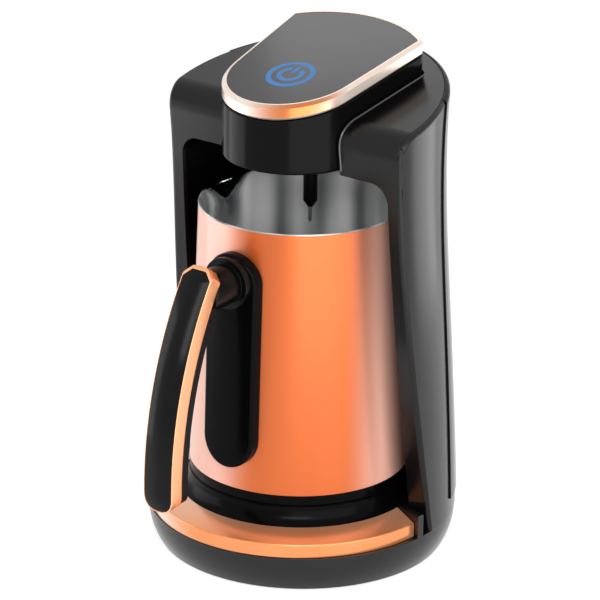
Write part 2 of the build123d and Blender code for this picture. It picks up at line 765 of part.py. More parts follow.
# ---------------------------------------------------------------- plug socket
socket_front = NICHE_CENTRE_Y + NICHE_HALF_WIDTH + LINER_WALL + RUN
socket_back = BASE_RADIUS - WALL - 3.0
with BuildPart() as socket_block:
    with BuildSketch(Plane.XZ.offset(-socket_front)):
        with Locations((0, SOCKET_HEIGHT)):
            RectangleRounded(SOCKET_WINDOW[0] + 6, SOCKET_WINDOW[1] + 4, 2)
    extrude(amount=socket_front - socket_back)
    with BuildSketch(Plane.XZ.offset(-socket_front)):
        with Locations((0, SOCKET_HEIGHT)):
            with GridLocations(PIN_PITCH, 0, 3, 1):
                Circle(CONTACT_RADIUS + SEAT)
    extrude(amount=socket_front - socket_back + 1, mode=Mode.SUBTRACT)
    add(waist_body(WALL + SEAT), mode=Mode.INTERSECT)
keep_part(socket_block.part, "socket_block")

with BuildPart() as socket_contacts:
    with BuildSketch(Plane.XZ.offset(-socket_front - 1)):
        with Locations((0, SOCKET_HEIGHT)):
            with GridLocations(PIN_PITCH, 0, 3, 1):
                Circle(CONTACT_RADIUS)
                Circle(PLUG_PIN_RADIUS + 0.3, mode=Mode.SUBTRACT)
    extrude(amount=-6.5)
keep_part(socket_contacts.part, "socket_contacts")


# ---------------------------------------------------------------- head
with BuildPart() as head_shell:
    add(head_column(0, HEAD_BOTTOM, TOP))
    fillet(faces().sort_by(Axis.Z)[0].edges(), radius=1.6)
    low_plane = Plane(origin=(0, 0, band_z(0) - BAND_HEIGHT - SEAT), z_dir=(0, -TILT, 1))
    split(bisect_by=low_plane, keep=Keep.BOTTOM)
    add(head_column(HEAD_WALL, HEAD_BOTTOM + HEAD_WALL, TOP), mode=Mode.SUBTRACT)
    flange_low = NICHE_TOP + LINER_WALL + SEAT
    with BuildSketch(Plane.XY.offset(flange_low)):
        with Locations((0, (FACE_TOP[0] + WALL + HEAD_CORNER_Y + 1) / 2)):
            Rectangle(2 * HEAD_CORNER_X + 12, HEAD_CORNER_Y - FACE_TOP[0] - WALL - 1)
        add(head_plan(HEAD_WALL / 2), mode=Mode.SUBTRACT)
    extrude(amount=HEAD_WALL)
    floor_top = HEAD_BOTTOM + HEAD_WALL
    with BuildSketch(Plane.XY.offset(floor_top)):
        with Locations((0, PIVOT_Y)):
            with GridLocations(2 * EAR_X, 0, 2, 1):
                Rectangle(EAR_THICKNESS, 9)
    extrude(amount=PIVOT_Z + 4 - floor_top)
    with BuildSketch(Plane.XY.offset(HEAD_BOTTOM)):
        with Locations((0, PIVOT_Y + ARM_RADIUS + RUN - SLOT_LENGTH / 2)):
            Rectangle(2 * (ARM_RADIUS + RUN), SLOT_LENGTH)
    extrude(amount=HEAD_WALL, mode=Mode.SUBTRACT)
    with BuildSketch(Plane.YZ):
        with Locations((PIVOT_Y, PIVOT_Z)):
            Circle(PIN_RADIUS + SEAT / 2)
    extrude(amount=EAR_X + EAR_THICKNESS, both=True, mode=Mode.SUBTRACT)
keep_part(head_shell.part, "head_shell")

with BuildPart() as head_band:
    add(head_slab(0, BAND_HEIGHT, 0))
    chamfer(faces().sort_by(Axis.Z)[-1].edges(), length=BAND_CHAMFER)
    add(head_slab(BAND_WALL, PANEL_THICKNESS + 0.3, -SEAT), mode=Mode.SUBTRACT)
    add(head_slab(BAND_WALL + 1.6, 2 * BAND_HEIGHT, -SEAT), mode=Mode.SUBTRACT)
keep_part(head_band.part, "head_band")

with BuildPart() as touch_panel:
    add(head_slab(BAND_WALL + SEAT, PANEL_THICKNESS + 0.2, 0.2))
keep_part(touch_panel.part, "touch_panel")

guide_spot = (0, TOUCH_Y)
with BuildPart() as touch_board:
    add(head_slab(BAND_WALL + 2.2, PANEL_THICKNESS + 0.3 + BOARD_THICKNESS, PANEL_THICKNESS + 0.3))
    with BuildSketch(Plane.XY.offset(HEAD_BOTTOM)):
        with Locations(guide_spot):
            Circle(TOUCH_RADIUS + SEAT)
    extrude(amount=TOP - HEAD_BOTTOM, mode=Mode.SUBTRACT)
keep_part(touch_board.part, "touch_board")

with BuildPart() as light_guide:
    add(head_slab(BAND_WALL + 2.2, PANEL_THICKNESS + 4.3, PANEL_THICKNESS + 0.3))
    with BuildSketch(Plane.XY.offset(HEAD_BOTTOM)):
        with Locations(guide_spot):
            Circle(TOUCH_RADIUS)
    extrude(amount=TOP - HEAD_BOTTOM, mode=Mode.INTERSECT)
keep_part(light_guide.part, "light_guide")

with BuildPart() as pivot_pin:
    with BuildSketch(Plane.YZ):
        with Locations((PIVOT_Y, PIVOT_Z)):
            Circle(PIN_RADIUS)
    extrude(amount=EAR_X + EAR_THICKNESS / 2 + 0.6, both=True)
    chamfer(edges().filter_by(GeomType.CIRCLE), length=0.25)
keep_part(pivot_pin.part, "pivot_pin")

# ---------------------------------------------------------------- sensor
with BuildPart() as sensor_arm:
    with BuildSketch(Plane.XZ):
        with BuildLine():
            Polyline(
                (0, CONE_END),
                (TIP_RADIUS + 0.4, CONE_END),
                (ARM_RADIUS, ARM_END),
                (ARM_RADIUS, PIVOT_Z + ARM_RADIUS - 1),
                (ARM_RADIUS - 1, PIVOT_Z + ARM_RADIUS),
                (0, PIVOT_Z + ARM_RADIUS),
                close=True,
            )
        make_face()
    revolve(axis=Axis.Z)
    with BuildSketch(Plane.YZ):
        with Locations((0, PIVOT_Z)):
            Circle(PIN_RADIUS + 0.06)
    extrude(amount=2 * ARM_RADIUS, both=True, mode=Mode.SUBTRACT)
    with BuildSketch(Plane.XY.offset(CONE_END)):
        Circle(TIP_RADIUS)
    extrude(amount=TIP_SEAT, mode=Mode.SUBTRACT)
keep_part(Pos(0, PIVOT_Y, 0) * sensor_arm.part, "sensor_arm")

with BuildPart() as sensor_tip:
    with BuildSketch(Plane.XZ):
        with BuildLine():
            Polyline(
                (0, TIP_END),
                (0.35, TIP_END),
                (TIP_RADIUS, TIP_END + 1.5),
                (TIP_RADIUS, CONE_END + TIP_SEAT),
                (0, CONE_END + TIP_SEAT),
                close=True,
            )
        make_face()
    revolve(axis=Axis.Z)
keep_part(Pos(0, PIVOT_Y, 0) * sensor_tip.part, "sensor_tip")


# ---------------------------------------------------------------- pot
def cone_block(grow, low, high):
    """Solid inside the pot's taper between two heights, grown outwards."""
    with BuildPart() as block:
        with BuildSketch(Plane.XY.offset(low)):
            Circle(pot_radius(low) + grow)
        with BuildSketch(Plane.XY.offset(high)):
            Circle(pot_radius(high) + grow)
        loft(ruled=True)
    return block.part


def beak(inset, top):
    """Solid V of the pouring spout, set in from its outer faces, up to a height."""
    with BuildPart() as block:
        for x, half, depth in (SPOUT_ROOT, SPOUT_TIP):
            slant = (half**2 + depth**2) ** 0.5
            width = half - inset * slant / depth
            drop = depth - inset * slant / half
            rise = top - RIM_HEIGHT
            wide = width * (drop + rise) / drop
            with BuildSketch(Plane.YZ.offset(x + inset * (x == SPOUT_TIP[0]))):
                with BuildLine():
                    Polyline(
                        (-wide, top), (0, RIM_HEIGHT - drop), (wide, top), close=True
                    )
                make_face()
        loft(ruled=True)
        valley = edges().sort_by(Axis.Z)[0:3]
        valley = [e for e in valley if abs(e.center().Y) < 0.01]
        fillet(valley, radius=SPOUT_ROUND - inset)
    return block.part


lip_low = RIM_HEIGHT - LIP_HEIGHT
vessel_out = -SLEEVE_WALL - AIR_GAP
vessel_in = vessel_out - VESSEL_WALL
spout_steel = SLEEVE_WALL + SEAT
plug_mid = (PLUG_LOW + PLUG_HIGH) / 2

with BuildPart() as pot_sleeve:
    add(cone_block(0, POT_FOOT_HEIGHT, lip_low - SEAT))
    add(beak(0, lip_low - SEAT))
    add(cone_block(-SLEEVE_WALL, POT_FOOT_HEIGHT - 1, RIM_HEIGHT + 1), mode=Mode.SUBTRACT)
    add(beak(SLEEVE_WALL, RIM_HEIGHT + 1), mode=Mode.SUBTRACT)
    with BuildSketch(Plane.XZ.offset(-AIR_GAP)):
        with Locations((0, plug_mid)):
            Rectangle(
                2 * (PLUG_HALF_WIDTH + SEAT), PLUG_HIGH - PLUG_LOW + 2 * SEAT + 1
            )
    extrude(amount=-POT_FOOT_RADIUS, mode=Mode.SUBTRACT)
keep_part(pot_sleeve.part, "pot_sleeve")

with BuildPart() as hollow:
    add(cone_block(vessel_in, VESSEL_FLOOR, RIM_HEIGHT + 1))
    fillet(faces().sort_by(Axis.Z)[0].edges(), radius=VESSEL_ROUND)

with BuildPart() as vessel:
    add(cone_block(vessel_out, VESSEL_FLOOR - VESSEL_WALL, lip_low))
    fillet(faces().sort_by(Axis.Z)[0].edges(), radius=VESSEL_ROUND + VESSEL_WALL)
    add(beak(spout_steel, lip_low))
    add(cone_block(SEAT, lip_low, RIM_HEIGHT))
    add(
        beak(-SEAT, RIM_HEIGHT) & cylinder_block(BASE_RADIUS, lip_low, RIM_HEIGHT)
    )
    add(hollow.part, mode=Mode.SUBTRACT)
    add(beak(spout_steel + VESSEL_WALL - SEAT, RIM_HEIGHT + 1), mode=Mode.SUBTRACT)
keep_part(vessel.part, "vessel")

with BuildPart() as pot_collar:
    with BuildSketch(Plane.XZ):
        with BuildLine():
            flange_out = pot_radius(COLLAR_FLANGE[1]) - SLEEVE_WALL - SEAT
            web_low = COLLAR_FOOT + COVER_THICKNESS + SEAT
            collar_top = POT_FOOT_HEIGHT - SEAT
            Polyline(
                (COVER_RADIUS + SEAT, COLLAR_FOOT),
                (COLLAR_RADIUS, COLLAR_FOOT),
                (COLLAR_RADIUS, collar_top),
                (flange_out, collar_top),
                (flange_out, COLLAR_FLANGE[1]),
                (COLLAR_FLANGE[0], COLLAR_FLANGE[1]),
                (COLLAR_FLANGE[0], collar_top),
                (COLLAR_HOLE, collar_top),
                (COLLAR_HOLE, web_low),
                (COVER_RADIUS + SEAT, web_low),
                close=True,
            )
        make_face()
    revolve(axis=Axis.Z)
    with BuildSketch(Plane.XZ.offset(-PLUG_FACE_Y)):
        with Locations((0, (COLLAR_FOOT + PLUG_FLANGE[1]) / 2)):
            Rectangle(PLUG_FLANGE[0], PLUG_FLANGE[1] - COLLAR_FOOT)
        fillet(vertices(), radius=2.0)
    extrude(amount=PLUG_FACE_Y - COLLAR_RADIUS + 6)
    add(cone_block(SEAT, collar_top, RIM_HEIGHT), mode=Mode.SUBTRACT)
    with BuildSketch(Plane.XZ.offset(-PLUG_FACE_Y)):
        with Locations((0, plug_mid)):
            Rectangle(2 * PLUG_HALF_WIDTH, PLUG_HIGH - PLUG_LOW)
    extrude(amount=PLUG_FACE_Y - COLLAR_FLANGE[0] + 3)
    with BuildSketch(Plane.XZ.offset(-PLUG_FACE_Y)):
        with Locations((0, SOCKET_HEIGHT)):
            with GridLocations(PIN_PITCH, 0, 3, 1):
                Circle(PLUG_PIN_RADIUS + SEAT / 2)
    extrude(amount=PLUG_FACE_Y - COLLAR_FLANGE[0] + 4, mode=Mode.SUBTRACT)
    with BuildSketch(Plane.XY.offset(COLLAR_FOOT)):
        with PolarLocations(COVER_SCREW_CIRCLE, 3, start_angle=90):
            Circle(SCREW_SHANK - 0.3 + SEAT / 2)
    extrude(amount=POT_FOOT_HEIGHT, mode=Mode.SUBTRACT)
keep_part(pot_collar.part, "pot_collar")

with BuildPart() as plug_pins:
    with BuildSketch(Plane.XZ.offset(-PLUG_PIN_END)):
        with Locations((0, SOCKET_HEIGHT)):
            with GridLocations(PIN_PITCH, 0, 3, 1):
                Circle(PLUG_PIN_RADIUS)
    extrude(amount=PLUG_PIN_END - COLLAR_FLANGE[0] + 1.5)
    fillet(faces().group_by(Axis.Y)[-1].edges(), radius=1.0)
keep_part(plug_pins.part, "plug_pins")

with BuildPart() as pot_base_cover:
    with BuildSketch(Plane.XY.offset(COLLAR_FOOT)):
        Circle(COVER_RADIUS)
    extrude(amount=COVER_THICKNESS)
    with BuildSketch(Plane.XY.offset(COLLAR_FOOT)):
        with PolarLocations(COVER_SCREW_CIRCLE, 3, start_angle=90):
            Circle(SCREW_SHANK - 0.3 + SEAT / 2)
    extrude(amount=COVER_THICKNESS, mode=Mode.SUBTRACT)
keep_part(pot_base_cover.part, "pot_base_cover")

with BuildPart() as pot_cover_screws:
    with BuildSketch(Plane.XY.offset(COLLAR_FOOT)):
        with PolarLocations(COVER_SCREW_CIRCLE, 3, start_angle=90):
            Circle(SCREW_SHANK - 0.3)
    extrude(amount=POT_FOOT_HEIGHT - COLLAR_FOOT - SEAT)
keep_part(pot_cover_screws.part, "pot_cover_screws")

heater_top = VESSEL_FLOOR - VESSEL_WALL - SEAT
heater_low = heater_top - HEATER_THICKNESS
with BuildPart() as heater_plate:
    with BuildSketch(Plane.XY.offset(heater_low)):
        Circle(HEATER_RADIUS - VESSEL_ROUND)
    extrude(amount=HEATER_THICKNESS)
keep_part(heater_plate.part, "heater_plate")

with BuildPart() as heating_element:
    with BuildSketch(Plane.XZ):
        with Locations((ELEMENT_RADIUS, heater_low - SEAT - ELEMENT_TUBE)):
            Circle(ELEMENT_TUBE)
    revolve(axis=Axis.Z, revolution_arc=320)
keep_part(heating_element.part.rotate(Axis.Z, 110), "heating_element")

with BuildPart() as thermostat:
    with BuildSketch(Plane.XY.offset(COLLAR_FOOT + COVER_THICKNESS + 2.5)):
        Circle(THERMOSTAT_RADIUS - 2)
    extrude(amount=5)
    with BuildSketch(Plane.XY.offset(COLLAR_FOOT + COVER_THICKNESS + 7)):
        Circle(THERMOSTAT_RADIUS)
    extrude(amount=heater_low - SEAT - COLLAR_FOOT - COVER_THICKNESS - 7)
keep_part(thermostat.part, "thermostat")


# ---------------------------------------------------------------- handle
def grip_arc(half_width, outer, inner, start_gap, stop_gap, corner):
    """Bent bar between two depths below the grip's outer arc, ends set in by gaps."""
    start = GRIP_START + degrees(start_gap / GRIP_RADIUS)
    stop = GRIP_STOP - degrees(stop_gap / GRIP_RADIUS)
    turn = radians(start)
    section = Plane(
        origin=(0, *GRIP_CENTRE), x_dir=(1, 0, 0), z_dir=(0, -sin(turn), cos(turn))
    )
    with BuildPart() as bar:
        with BuildSketch(section):
            with Locations((0, GRIP_RADIUS - (outer + inner) / 2)):
                Rectangle(2 * half_width, inner - outer)
        revolve(axis=Axis((0, *GRIP_CENTRE), (1, 0, 0)), revolution_arc=stop - start)
        ends = [e for e in bar.edges() if e.geom_type == GeomType.LINE]
        ends = ShapeList(e for e in ends if abs(e.tangent_at(0).X) < 0.1)
        ends = ends.sort_by(Axis.Z)
        fillet(ends[:2], radius=corner)
        chamfer(ends[2:], length=corner * END_CUT)
    return bar.part


with BuildPart() as handle_mount:
    with BuildSketch(Plane.XZ.offset(POT_FOOT_RADIUS - 20)):
        with Locations((0, (MOUNT_TOP + MOUNT_BOTTOM) / 2)):
            SlotOverall(MOUNT_TOP - MOUNT_BOTTOM, MOUNT_WIDTH, rotation=90)
    extrude(amount=SEAM_ROOM + 4)
    add(cone_shell(MOUNT_PROUD, SEAT, POT_FOOT_HEIGHT, RIM_HEIGHT), mode=Mode.INTERSECT)
    fillet(handle_mount.faces().sort_by(Axis.Y)[0].edges(), radius=1.8)
    with BuildSketch(Plane.XZ):
        with Locations((0, BOSS_HEIGHT)):
            Circle(STUD_RADIUS + SEAT / 2)
    extrude(amount=2 * POT_FOOT_RADIUS, mode=Mode.SUBTRACT)
keep_part(handle_mount.part, "handle_mount")

stud_head = pot_radius(BOSS_HEIGHT) + SEAT
with BuildPart() as handle_core:
    add(grip_arc(CORE_HALF_WIDTH, TRIM_DEPTH + SEAT, CORE_DEPTH, 1.0, 1.0, END_ROUND - 1))
    with BuildSketch(Plane.XZ.offset(RIM_RADIUS)):
        with Locations((0, BOSS_HEIGHT)):
            Circle(BOSS_RADIUS)
    extrude(amount=26)
    with BuildSketch(Plane.XZ.offset(RIM_RADIUS)):
        with Locations((0, BOSS_HEIGHT)):
            Circle(BOSS_RING[0])
    extrude(amount=MOUNT_PROUD + BOSS_RING[1] + 0.9)
    add(
        cone_block(MOUNT_PROUD + SEAT, POT_FOOT_HEIGHT, RIM_HEIGHT + 5),
        mode=Mode.SUBTRACT,
    )
    add(
        grip_arc(2 * BOSS_RING[0], -BOSS_RING[0], TRIM_DEPTH + SEAT, -9, -9, 1.0),
        mode=Mode.SUBTRACT,
    )
    with BuildSketch(Plane.XZ):
        with Locations((0, BOSS_HEIGHT)):
            Circle(STUD_RADIUS + SEAT / 2)
    extrude(amount=stud_head + 24, mode=Mode.SUBTRACT)
keep_part(handle_core.part, "handle_core")

with BuildPart() as handle_trim:
    add(grip_arc(GRIP_HALF_WIDTH, 0, TRIM_DEPTH, 0, 0, END_ROUND))
    add(
        grip_arc(
            GRIP_HALF_WIDTH - PANEL_SIDE,
            -2,
            PANEL_DEPTH,
            PANEL_TOP,
            PANEL_SIDE,
            END_ROUND - PANEL_SIDE,
        ),
        mode=Mode.SUBTRACT,
    )
keep_part(handle_trim.part, "handle_trim")

with BuildPart() as handle_grip:
    add(
        grip_arc(
            GRIP_HALF_WIDTH - PANEL_SIDE - SEAT,
            -PANEL_PROUD,
            PANEL_DEPTH - SEAT,
            PANEL_TOP + SEAT,
            PANEL_SIDE + SEAT,
            END_ROUND - PANEL_SIDE - SEAT,
        )
    )
keep_part(handle_grip.part, "handle_grip")

with BuildPart() as handle_stud:
    with BuildSketch(Plane.XZ.offset(stud_head + 0.4)):
        with Locations((0, BOSS_HEIGHT)):
            Circle(STUD_RADIUS)
    extrude(amount=22)
keep_part(handle_stud.part, "handle_stud")
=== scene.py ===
# %% [markdown]
# # A coffee maker with a copper pot, dressed in Blender
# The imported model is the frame: its pieces stay where they are. This script gives each of them a
# finish, and swaps the ones that the eye rests on for smooth surfaces worked out with numpy:
# the copper pot with its spout, the steel cup, the grip and the ring round the base.

import json
from math import cos, pi, radians, sin, tan

import bmesh
import bpy
import numpy as np
from mathutils import Matrix, Vector


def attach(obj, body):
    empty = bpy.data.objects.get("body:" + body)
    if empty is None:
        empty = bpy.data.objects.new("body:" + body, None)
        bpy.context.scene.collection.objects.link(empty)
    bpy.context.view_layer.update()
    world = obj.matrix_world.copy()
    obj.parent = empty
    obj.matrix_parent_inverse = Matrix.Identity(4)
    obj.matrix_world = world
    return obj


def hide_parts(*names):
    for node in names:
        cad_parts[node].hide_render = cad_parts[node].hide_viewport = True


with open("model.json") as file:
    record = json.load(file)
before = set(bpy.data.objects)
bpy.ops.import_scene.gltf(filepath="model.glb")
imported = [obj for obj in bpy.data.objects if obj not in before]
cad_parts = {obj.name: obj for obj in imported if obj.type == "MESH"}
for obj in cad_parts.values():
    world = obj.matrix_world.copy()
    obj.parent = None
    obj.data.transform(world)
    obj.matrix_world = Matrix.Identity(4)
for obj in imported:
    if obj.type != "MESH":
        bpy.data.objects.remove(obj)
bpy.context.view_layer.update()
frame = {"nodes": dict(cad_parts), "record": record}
nodes = frame["nodes"]
scene = bpy.context.scene

# %% [markdown]
# ## The camera
# A long lens from the front right, a little above. Its turn is written as an azimuth and an
# elevation round the object, which is how one would walk round it in a studio. A long lens keeps
# the upright edges nearly parallel, as in most pictures of kitchen appliances.

# %% Camera
CAMERA_PLACE = Vector((0.9129, -1.1921, 0.6905))
CAMERA_AZIMUTH = radians(37.40)
CAMERA_ELEVATION = radians(21.145)
CAMERA_ROLL = radians(0.563)
CAMERA_SENSOR, CAMERA_LENS = 36.0, 207.7  # millimetres
CAMERA_SHIFT = (-0.0041, 0.0264)  # shares of the picture's width


def camera_turn(azimuth, elevation, roll):
    """Rotation matrix whose Z column points back from the object to the camera."""
    back = Vector(
        (sin(azimuth) * cos(elevation), -cos(azimuth) * cos(elevation), sin(elevation))
    )
    right = Vector((cos(azimuth), sin(azimuth), 0))
    up = back.cross(right)
    rolled_right = cos(roll) * right + sin(roll) * up
    rolled_up = cos(roll) * up - sin(roll) * right
    return Matrix((rolled_right, rolled_up, back)).transposed()


camera_data = bpy.data.cameras.new("camera")
camera_data.sensor_width, camera_data.lens = CAMERA_SENSOR, CAMERA_LENS
camera_data.shift_x, camera_data.shift_y = CAMERA_SHIFT
camera = bpy.data.objects.new("camera", camera_data)
scene.collection.objects.link(camera)
turn = camera_turn(CAMERA_AZIMUTH, CAMERA_ELEVATION, CAMERA_ROLL)
camera.matrix_world = Matrix.Translation(CAMERA_PLACE) @ turn.to_4x4()
scene.camera = camera
print("camera:", CAMERA_LENS, "mm lens at", [round(c, 3) for c in CAMERA_PLACE])

# %% [markdown]
# ## The studio
# Black gloss and polished copper show what stands round them more than their own colour, so the
# studio is part of their finish. The world is white wherever a camera ray or a mirror ray meets
# it, and a plain pale grey for the light that falls on dull surfaces. Tall softboxes then draw
# the long soft streaks that tell the eye how each surface bends.

# %% Maths node
def add_math(tree, operation, first, second=None):
    """Math node on two values, each a socket or a number."""
    node = tree.nodes.new("ShaderNodeMath")
    node.operation = operation
    for slot, value in zip(node.inputs, (first, second)):
        if value is None:
            continue
        if isinstance(value, (int, float)):
            slot.default_value = value
        else:
            tree.links.new(value, slot)
    return node.outputs[0]


def seen_directly(tree):
    """Mask that is 1 for camera, mirror and transmission rays, and 0 for all others."""
    path = tree.nodes.new("ShaderNodeLightPath").outputs
    seen = add_math(tree, "MAXIMUM", path["Is Camera Ray"], path["Is Glossy Ray"])
    return add_math(tree, "MAXIMUM", seen, path["Is Transmission Ray"])


print("rays that count as sight: camera, glossy, transmission")

# %% World
FILL_LEVEL, SEEN_LEVEL = 0.45, 1.0
WHITE = (1, 1, 1, 1)

scene.view_settings.view_transform = "Standard"
world = bpy.data.worlds.new("studio")
scene.world = world
world.use_nodes = True


def light_world(tree, fill, seen):
    """Pale fill for dull surfaces, plain white for what is seen directly."""
    tree.nodes.clear()
    mix = tree.nodes.new("ShaderNodeMixShader")
    tree.links.new(seen_directly(tree), mix.inputs["Fac"])
    for slot, strength in ((1, fill), (2, seen)):
        sky = tree.nodes.new("ShaderNodeBackground")
        sky.inputs["Color"].default_value = WHITE
        sky.inputs["Strength"].default_value = strength
        tree.links.new(sky.outputs[0], mix.inputs[slot])
    out = tree.nodes.new("ShaderNodeOutputWorld")
    tree.links.new(mix.outputs[0], out.inputs["Surface"])


light_world(world.node_tree, FILL_LEVEL, SEEN_LEVEL)
print("world: fill", FILL_LEVEL, "seen", SEEN_LEVEL)

# %% [markdown]
# Each softbox stands where a surface mirrors it towards the camera. Upright walls, seen from
# above, mirror what lies low, so most of the boxes hang low and close. The one in front is
# high: it shines over the rim into the cup. Their brightness is given as a mirror shows it.

# %% Softboxes
AIM = Vector((0, 0, 0.12))  # the middle of the machine


def softbox(name, azimuth, elevation, distance, size, radiance):
    """Area lamp on a sphere round the object, turned towards it; azimuth is from -Y to +X.
    Its power is pi times its area times the brightness that a mirror would show."""
    lamp_data = bpy.data.lights.new(name, "AREA")
    lamp_data.shape = "RECTANGLE"
    lamp_data.size, lamp_data.size_y = size
    lamp_data.energy = pi * size[0] * size[1] * radiance
    lamp = bpy.data.objects.new(name, lamp_data)
    scene.collection.objects.link(lamp)
    turned, raised = radians(azimuth), radians(elevation)
    away = Vector((sin(turned) * cos(raised), -cos(turned) * cos(raised), sin(raised)))
    place = AIM + distance * away
    facing = away.to_track_quat("Z", "Y").to_matrix().to_4x4()
    lamp.matrix_world = Matrix.Translation(place) @ facing
    lamp.visible_camera = False
    print("softbox", name, "watts", round(lamp_data.energy, 2))
    return lamp


# name: azimuth and elevation in degrees, distance, width and height in metres, brightness
SOFTBOXES = {
    "softbox_left": (-64, 0, 0.42, (0.30, 0.24), 2.2),
    "softbox_right": (62, 6, 0.38, (0.48, 0.36), 1.9),
    "softbox_rear_right": (148, -4, 0.45, (0.24, 0.24), 2.0),
    "softbox_front": (36, 28, 0.9, (0.40, 0.20), 8.0),
    "softbox_rear_high": (-142, 36, 0.70, (0.18, 0.22), 1.0),
    "softbox_grip": (-14, 30, 0.9, (0.10, 0.55), 5.0),
}
for softbox_name, softbox_values in SOFTBOXES.items():
    softbox(softbox_name, *softbox_values)

# %% [markdown]
# ## The floor
# A wide pale sheet, wide enough that no view reaches its edge. Part of what the camera sees of
# it is its own light, so it goes to white by itself, and the rest is lit, so the shadow under
# the machine stays.

# %% Floor
FLOOR_REACH = 3.0
FLOOR_LEVEL = -0.0001  # just under the feet
FLOOR_COLOR = (0.8, 0.8, 0.8, 1)
FLOOR_ROUGHNESS = 0.9
FLOOR_GLOW = 0.62


def floor_sheet(reach, level):
    """Square grid of 2 by 2 corners at one height: x and y each run from -reach to reach."""
    side = np.array([-reach, reach])
    x, y = np.meshgrid(side, side, indexing="ij")
    corners = np.stack([x, y, np.full_like(x, level)], axis=-1).reshape(-1, 3)
    mesh = bpy.data.meshes.new("floor")
    mesh.from_pydata(corners.tolist(), [], [(0, 2, 3, 1)])
    return mesh


def floor_paint(name, glow):
    """Dull white paint that adds its own light where it is seen directly."""
    paint = bpy.data.materials.new(name)
    paint.use_nodes = True
    tree = paint.node_tree
    shader = tree.nodes["Principled BSDF"]
    shader.inputs["Base Color"].default_value = FLOOR_COLOR
    shader.inputs["Roughness"].default_value = FLOOR_ROUGHNESS
    shader.inputs["Specular IOR Level"].default_value = 0.0
    own = tree.nodes.new("ShaderNodeEmission")
    strength = add_math(tree, "MULTIPLY", seen_directly(tree), glow)
    tree.links.new(strength, own.inputs["Strength"])
    both = tree.nodes.new("ShaderNodeAddShader")
    tree.links.new(shader.outputs[0], both.inputs[0])
    tree.links.new(own.outputs[0], both.inputs[1])
    tree.links.new(both.outputs[0], tree.nodes["Material Output"].inputs["Surface"])
    return paint


floor = bpy.data.objects.new("floor", floor_sheet(FLOOR_REACH, FLOOR_LEVEL))
floor.data.materials.append(floor_paint("studio_floor", FLOOR_GLOW))
scene.collection.objects.link(floor)
print("floor:", 2 * FLOOR_REACH, "m wide")

# %% [markdown]
# ## Shared effects
# Four small node groups hold what several finishes share, each built once. `soft_edge` rounds
# the light on sharp edges and says where they are. `moulded_grain` is the fine texture that a
# spark-eroded mould leaves on plastic. `spun_lines` are the fine rings that turning or brushing
# leaves in metal, worked out round the upright axis. `handling_marks` is the faint patchiness
# of a surface that hands and cloths have touched.

# %% Node group helpers
def new_group(name, inputs, outputs):
    """Empty shader group with named inputs, given as name: default, and named outputs."""
    group = bpy.data.node_groups.new(name, "ShaderNodeTree")
    for label, value in inputs.items():
        socket = group.interface.new_socket(label, in_out="INPUT", socket_type="NodeSocketFloat")
        socket.default_value = value
    for label, kind in outputs.items():
        group.interface.new_socket(label, in_out="OUTPUT", socket_type=kind)
    return group, group.nodes.new("NodeGroupInput"), group.nodes.new("NodeGroupOutput")


def add_noise(tree, vector, scale, detail=2.0):
    """Noise value, about 0.5 on average, on a coordinate socket."""
    node = tree.nodes.new("ShaderNodeTexNoise")
    node.inputs["Detail"].default_value = detail
    tree.links.new(vector, node.inputs["Vector"])
    if isinstance(scale, (int, float)):
        node.inputs["Scale"].default_value = scale
    else:
        tree.links.new(scale, node.inputs["Scale"])
    return node.outputs["Fac"]


def object_place(tree):
    """The shaded point in the object's own metres."""
    return tree.nodes.new("ShaderNodeTexCoord").outputs["Object"]


FLOAT, VECTOR = "NodeSocketFloat", "NodeSocketVector"
print("sockets that groups put out:", FLOAT, VECTOR)

# %% Soft edges
EDGE_RADIUS = 0.0004
EDGE_SAMPLES = 6
EDGE_GAIN = 4.0  # the mask is (1 - cos(lean)) times this, so it is full at about 41 degrees

soft_edge, given, result = new_group(
    "soft_edge", {"Radius": EDGE_RADIUS}, {"Normal": VECTOR, "Edge": FLOAT}
)
bevel = soft_edge.nodes.new("ShaderNodeBevel")
bevel.samples = EDGE_SAMPLES
true_face = soft_edge.nodes.new("ShaderNodeNewGeometry")
facing = soft_edge.nodes.new("ShaderNodeVectorMath")
facing.operation = "DOT_PRODUCT"
soft_edge.links.new(given.outputs["Radius"], bevel.inputs["Radius"])
soft_edge.links.new(bevel.outputs["Normal"], facing.inputs[0])
soft_edge.links.new(true_face.outputs["Normal"], facing.inputs[1])
turned_away = add_math(soft_edge, "SUBTRACT", 1.0, facing.outputs["Value"])
raised_mask = add_math(soft_edge, "MULTIPLY", turned_away, EDGE_GAIN)
edge_mask = add_math(soft_edge, "MINIMUM", raised_mask, 1.0)
soft_edge.links.new(bevel.outputs["Normal"], result.inputs["Normal"])
soft_edge.links.new(edge_mask, result.inputs["Edge"])
print("group:", soft_edge.name)

# %% Moulded grain
GRAIN_WAVE = 0.3
SINK_SCALE = 45.0  # per metre: the slow unevenness of a moulded wall

moulded_grain, given, result = new_group(
    "moulded_grain", {"Scale": 1800.0, "Wave": GRAIN_WAVE}, {"Height": FLOAT}
)
place = object_place(moulded_grain)
fine = add_noise(moulded_grain, place, given.outputs["Scale"], detail=3.0)
slow = add_noise(moulded_grain, place, SINK_SCALE, detail=1.0)
waved = add_math(moulded_grain, "MULTIPLY", slow, given.outputs["Wave"])
moulded_grain.links.new(add_math(moulded_grain, "ADD", fine, waved), result.inputs["Height"])
print("group:", moulded_grain.name)

# %% Spun lines
LINE_WANDER = 3.0
STREAK_DRIFT = 4.0  # how fast the streaks change with height, per metre

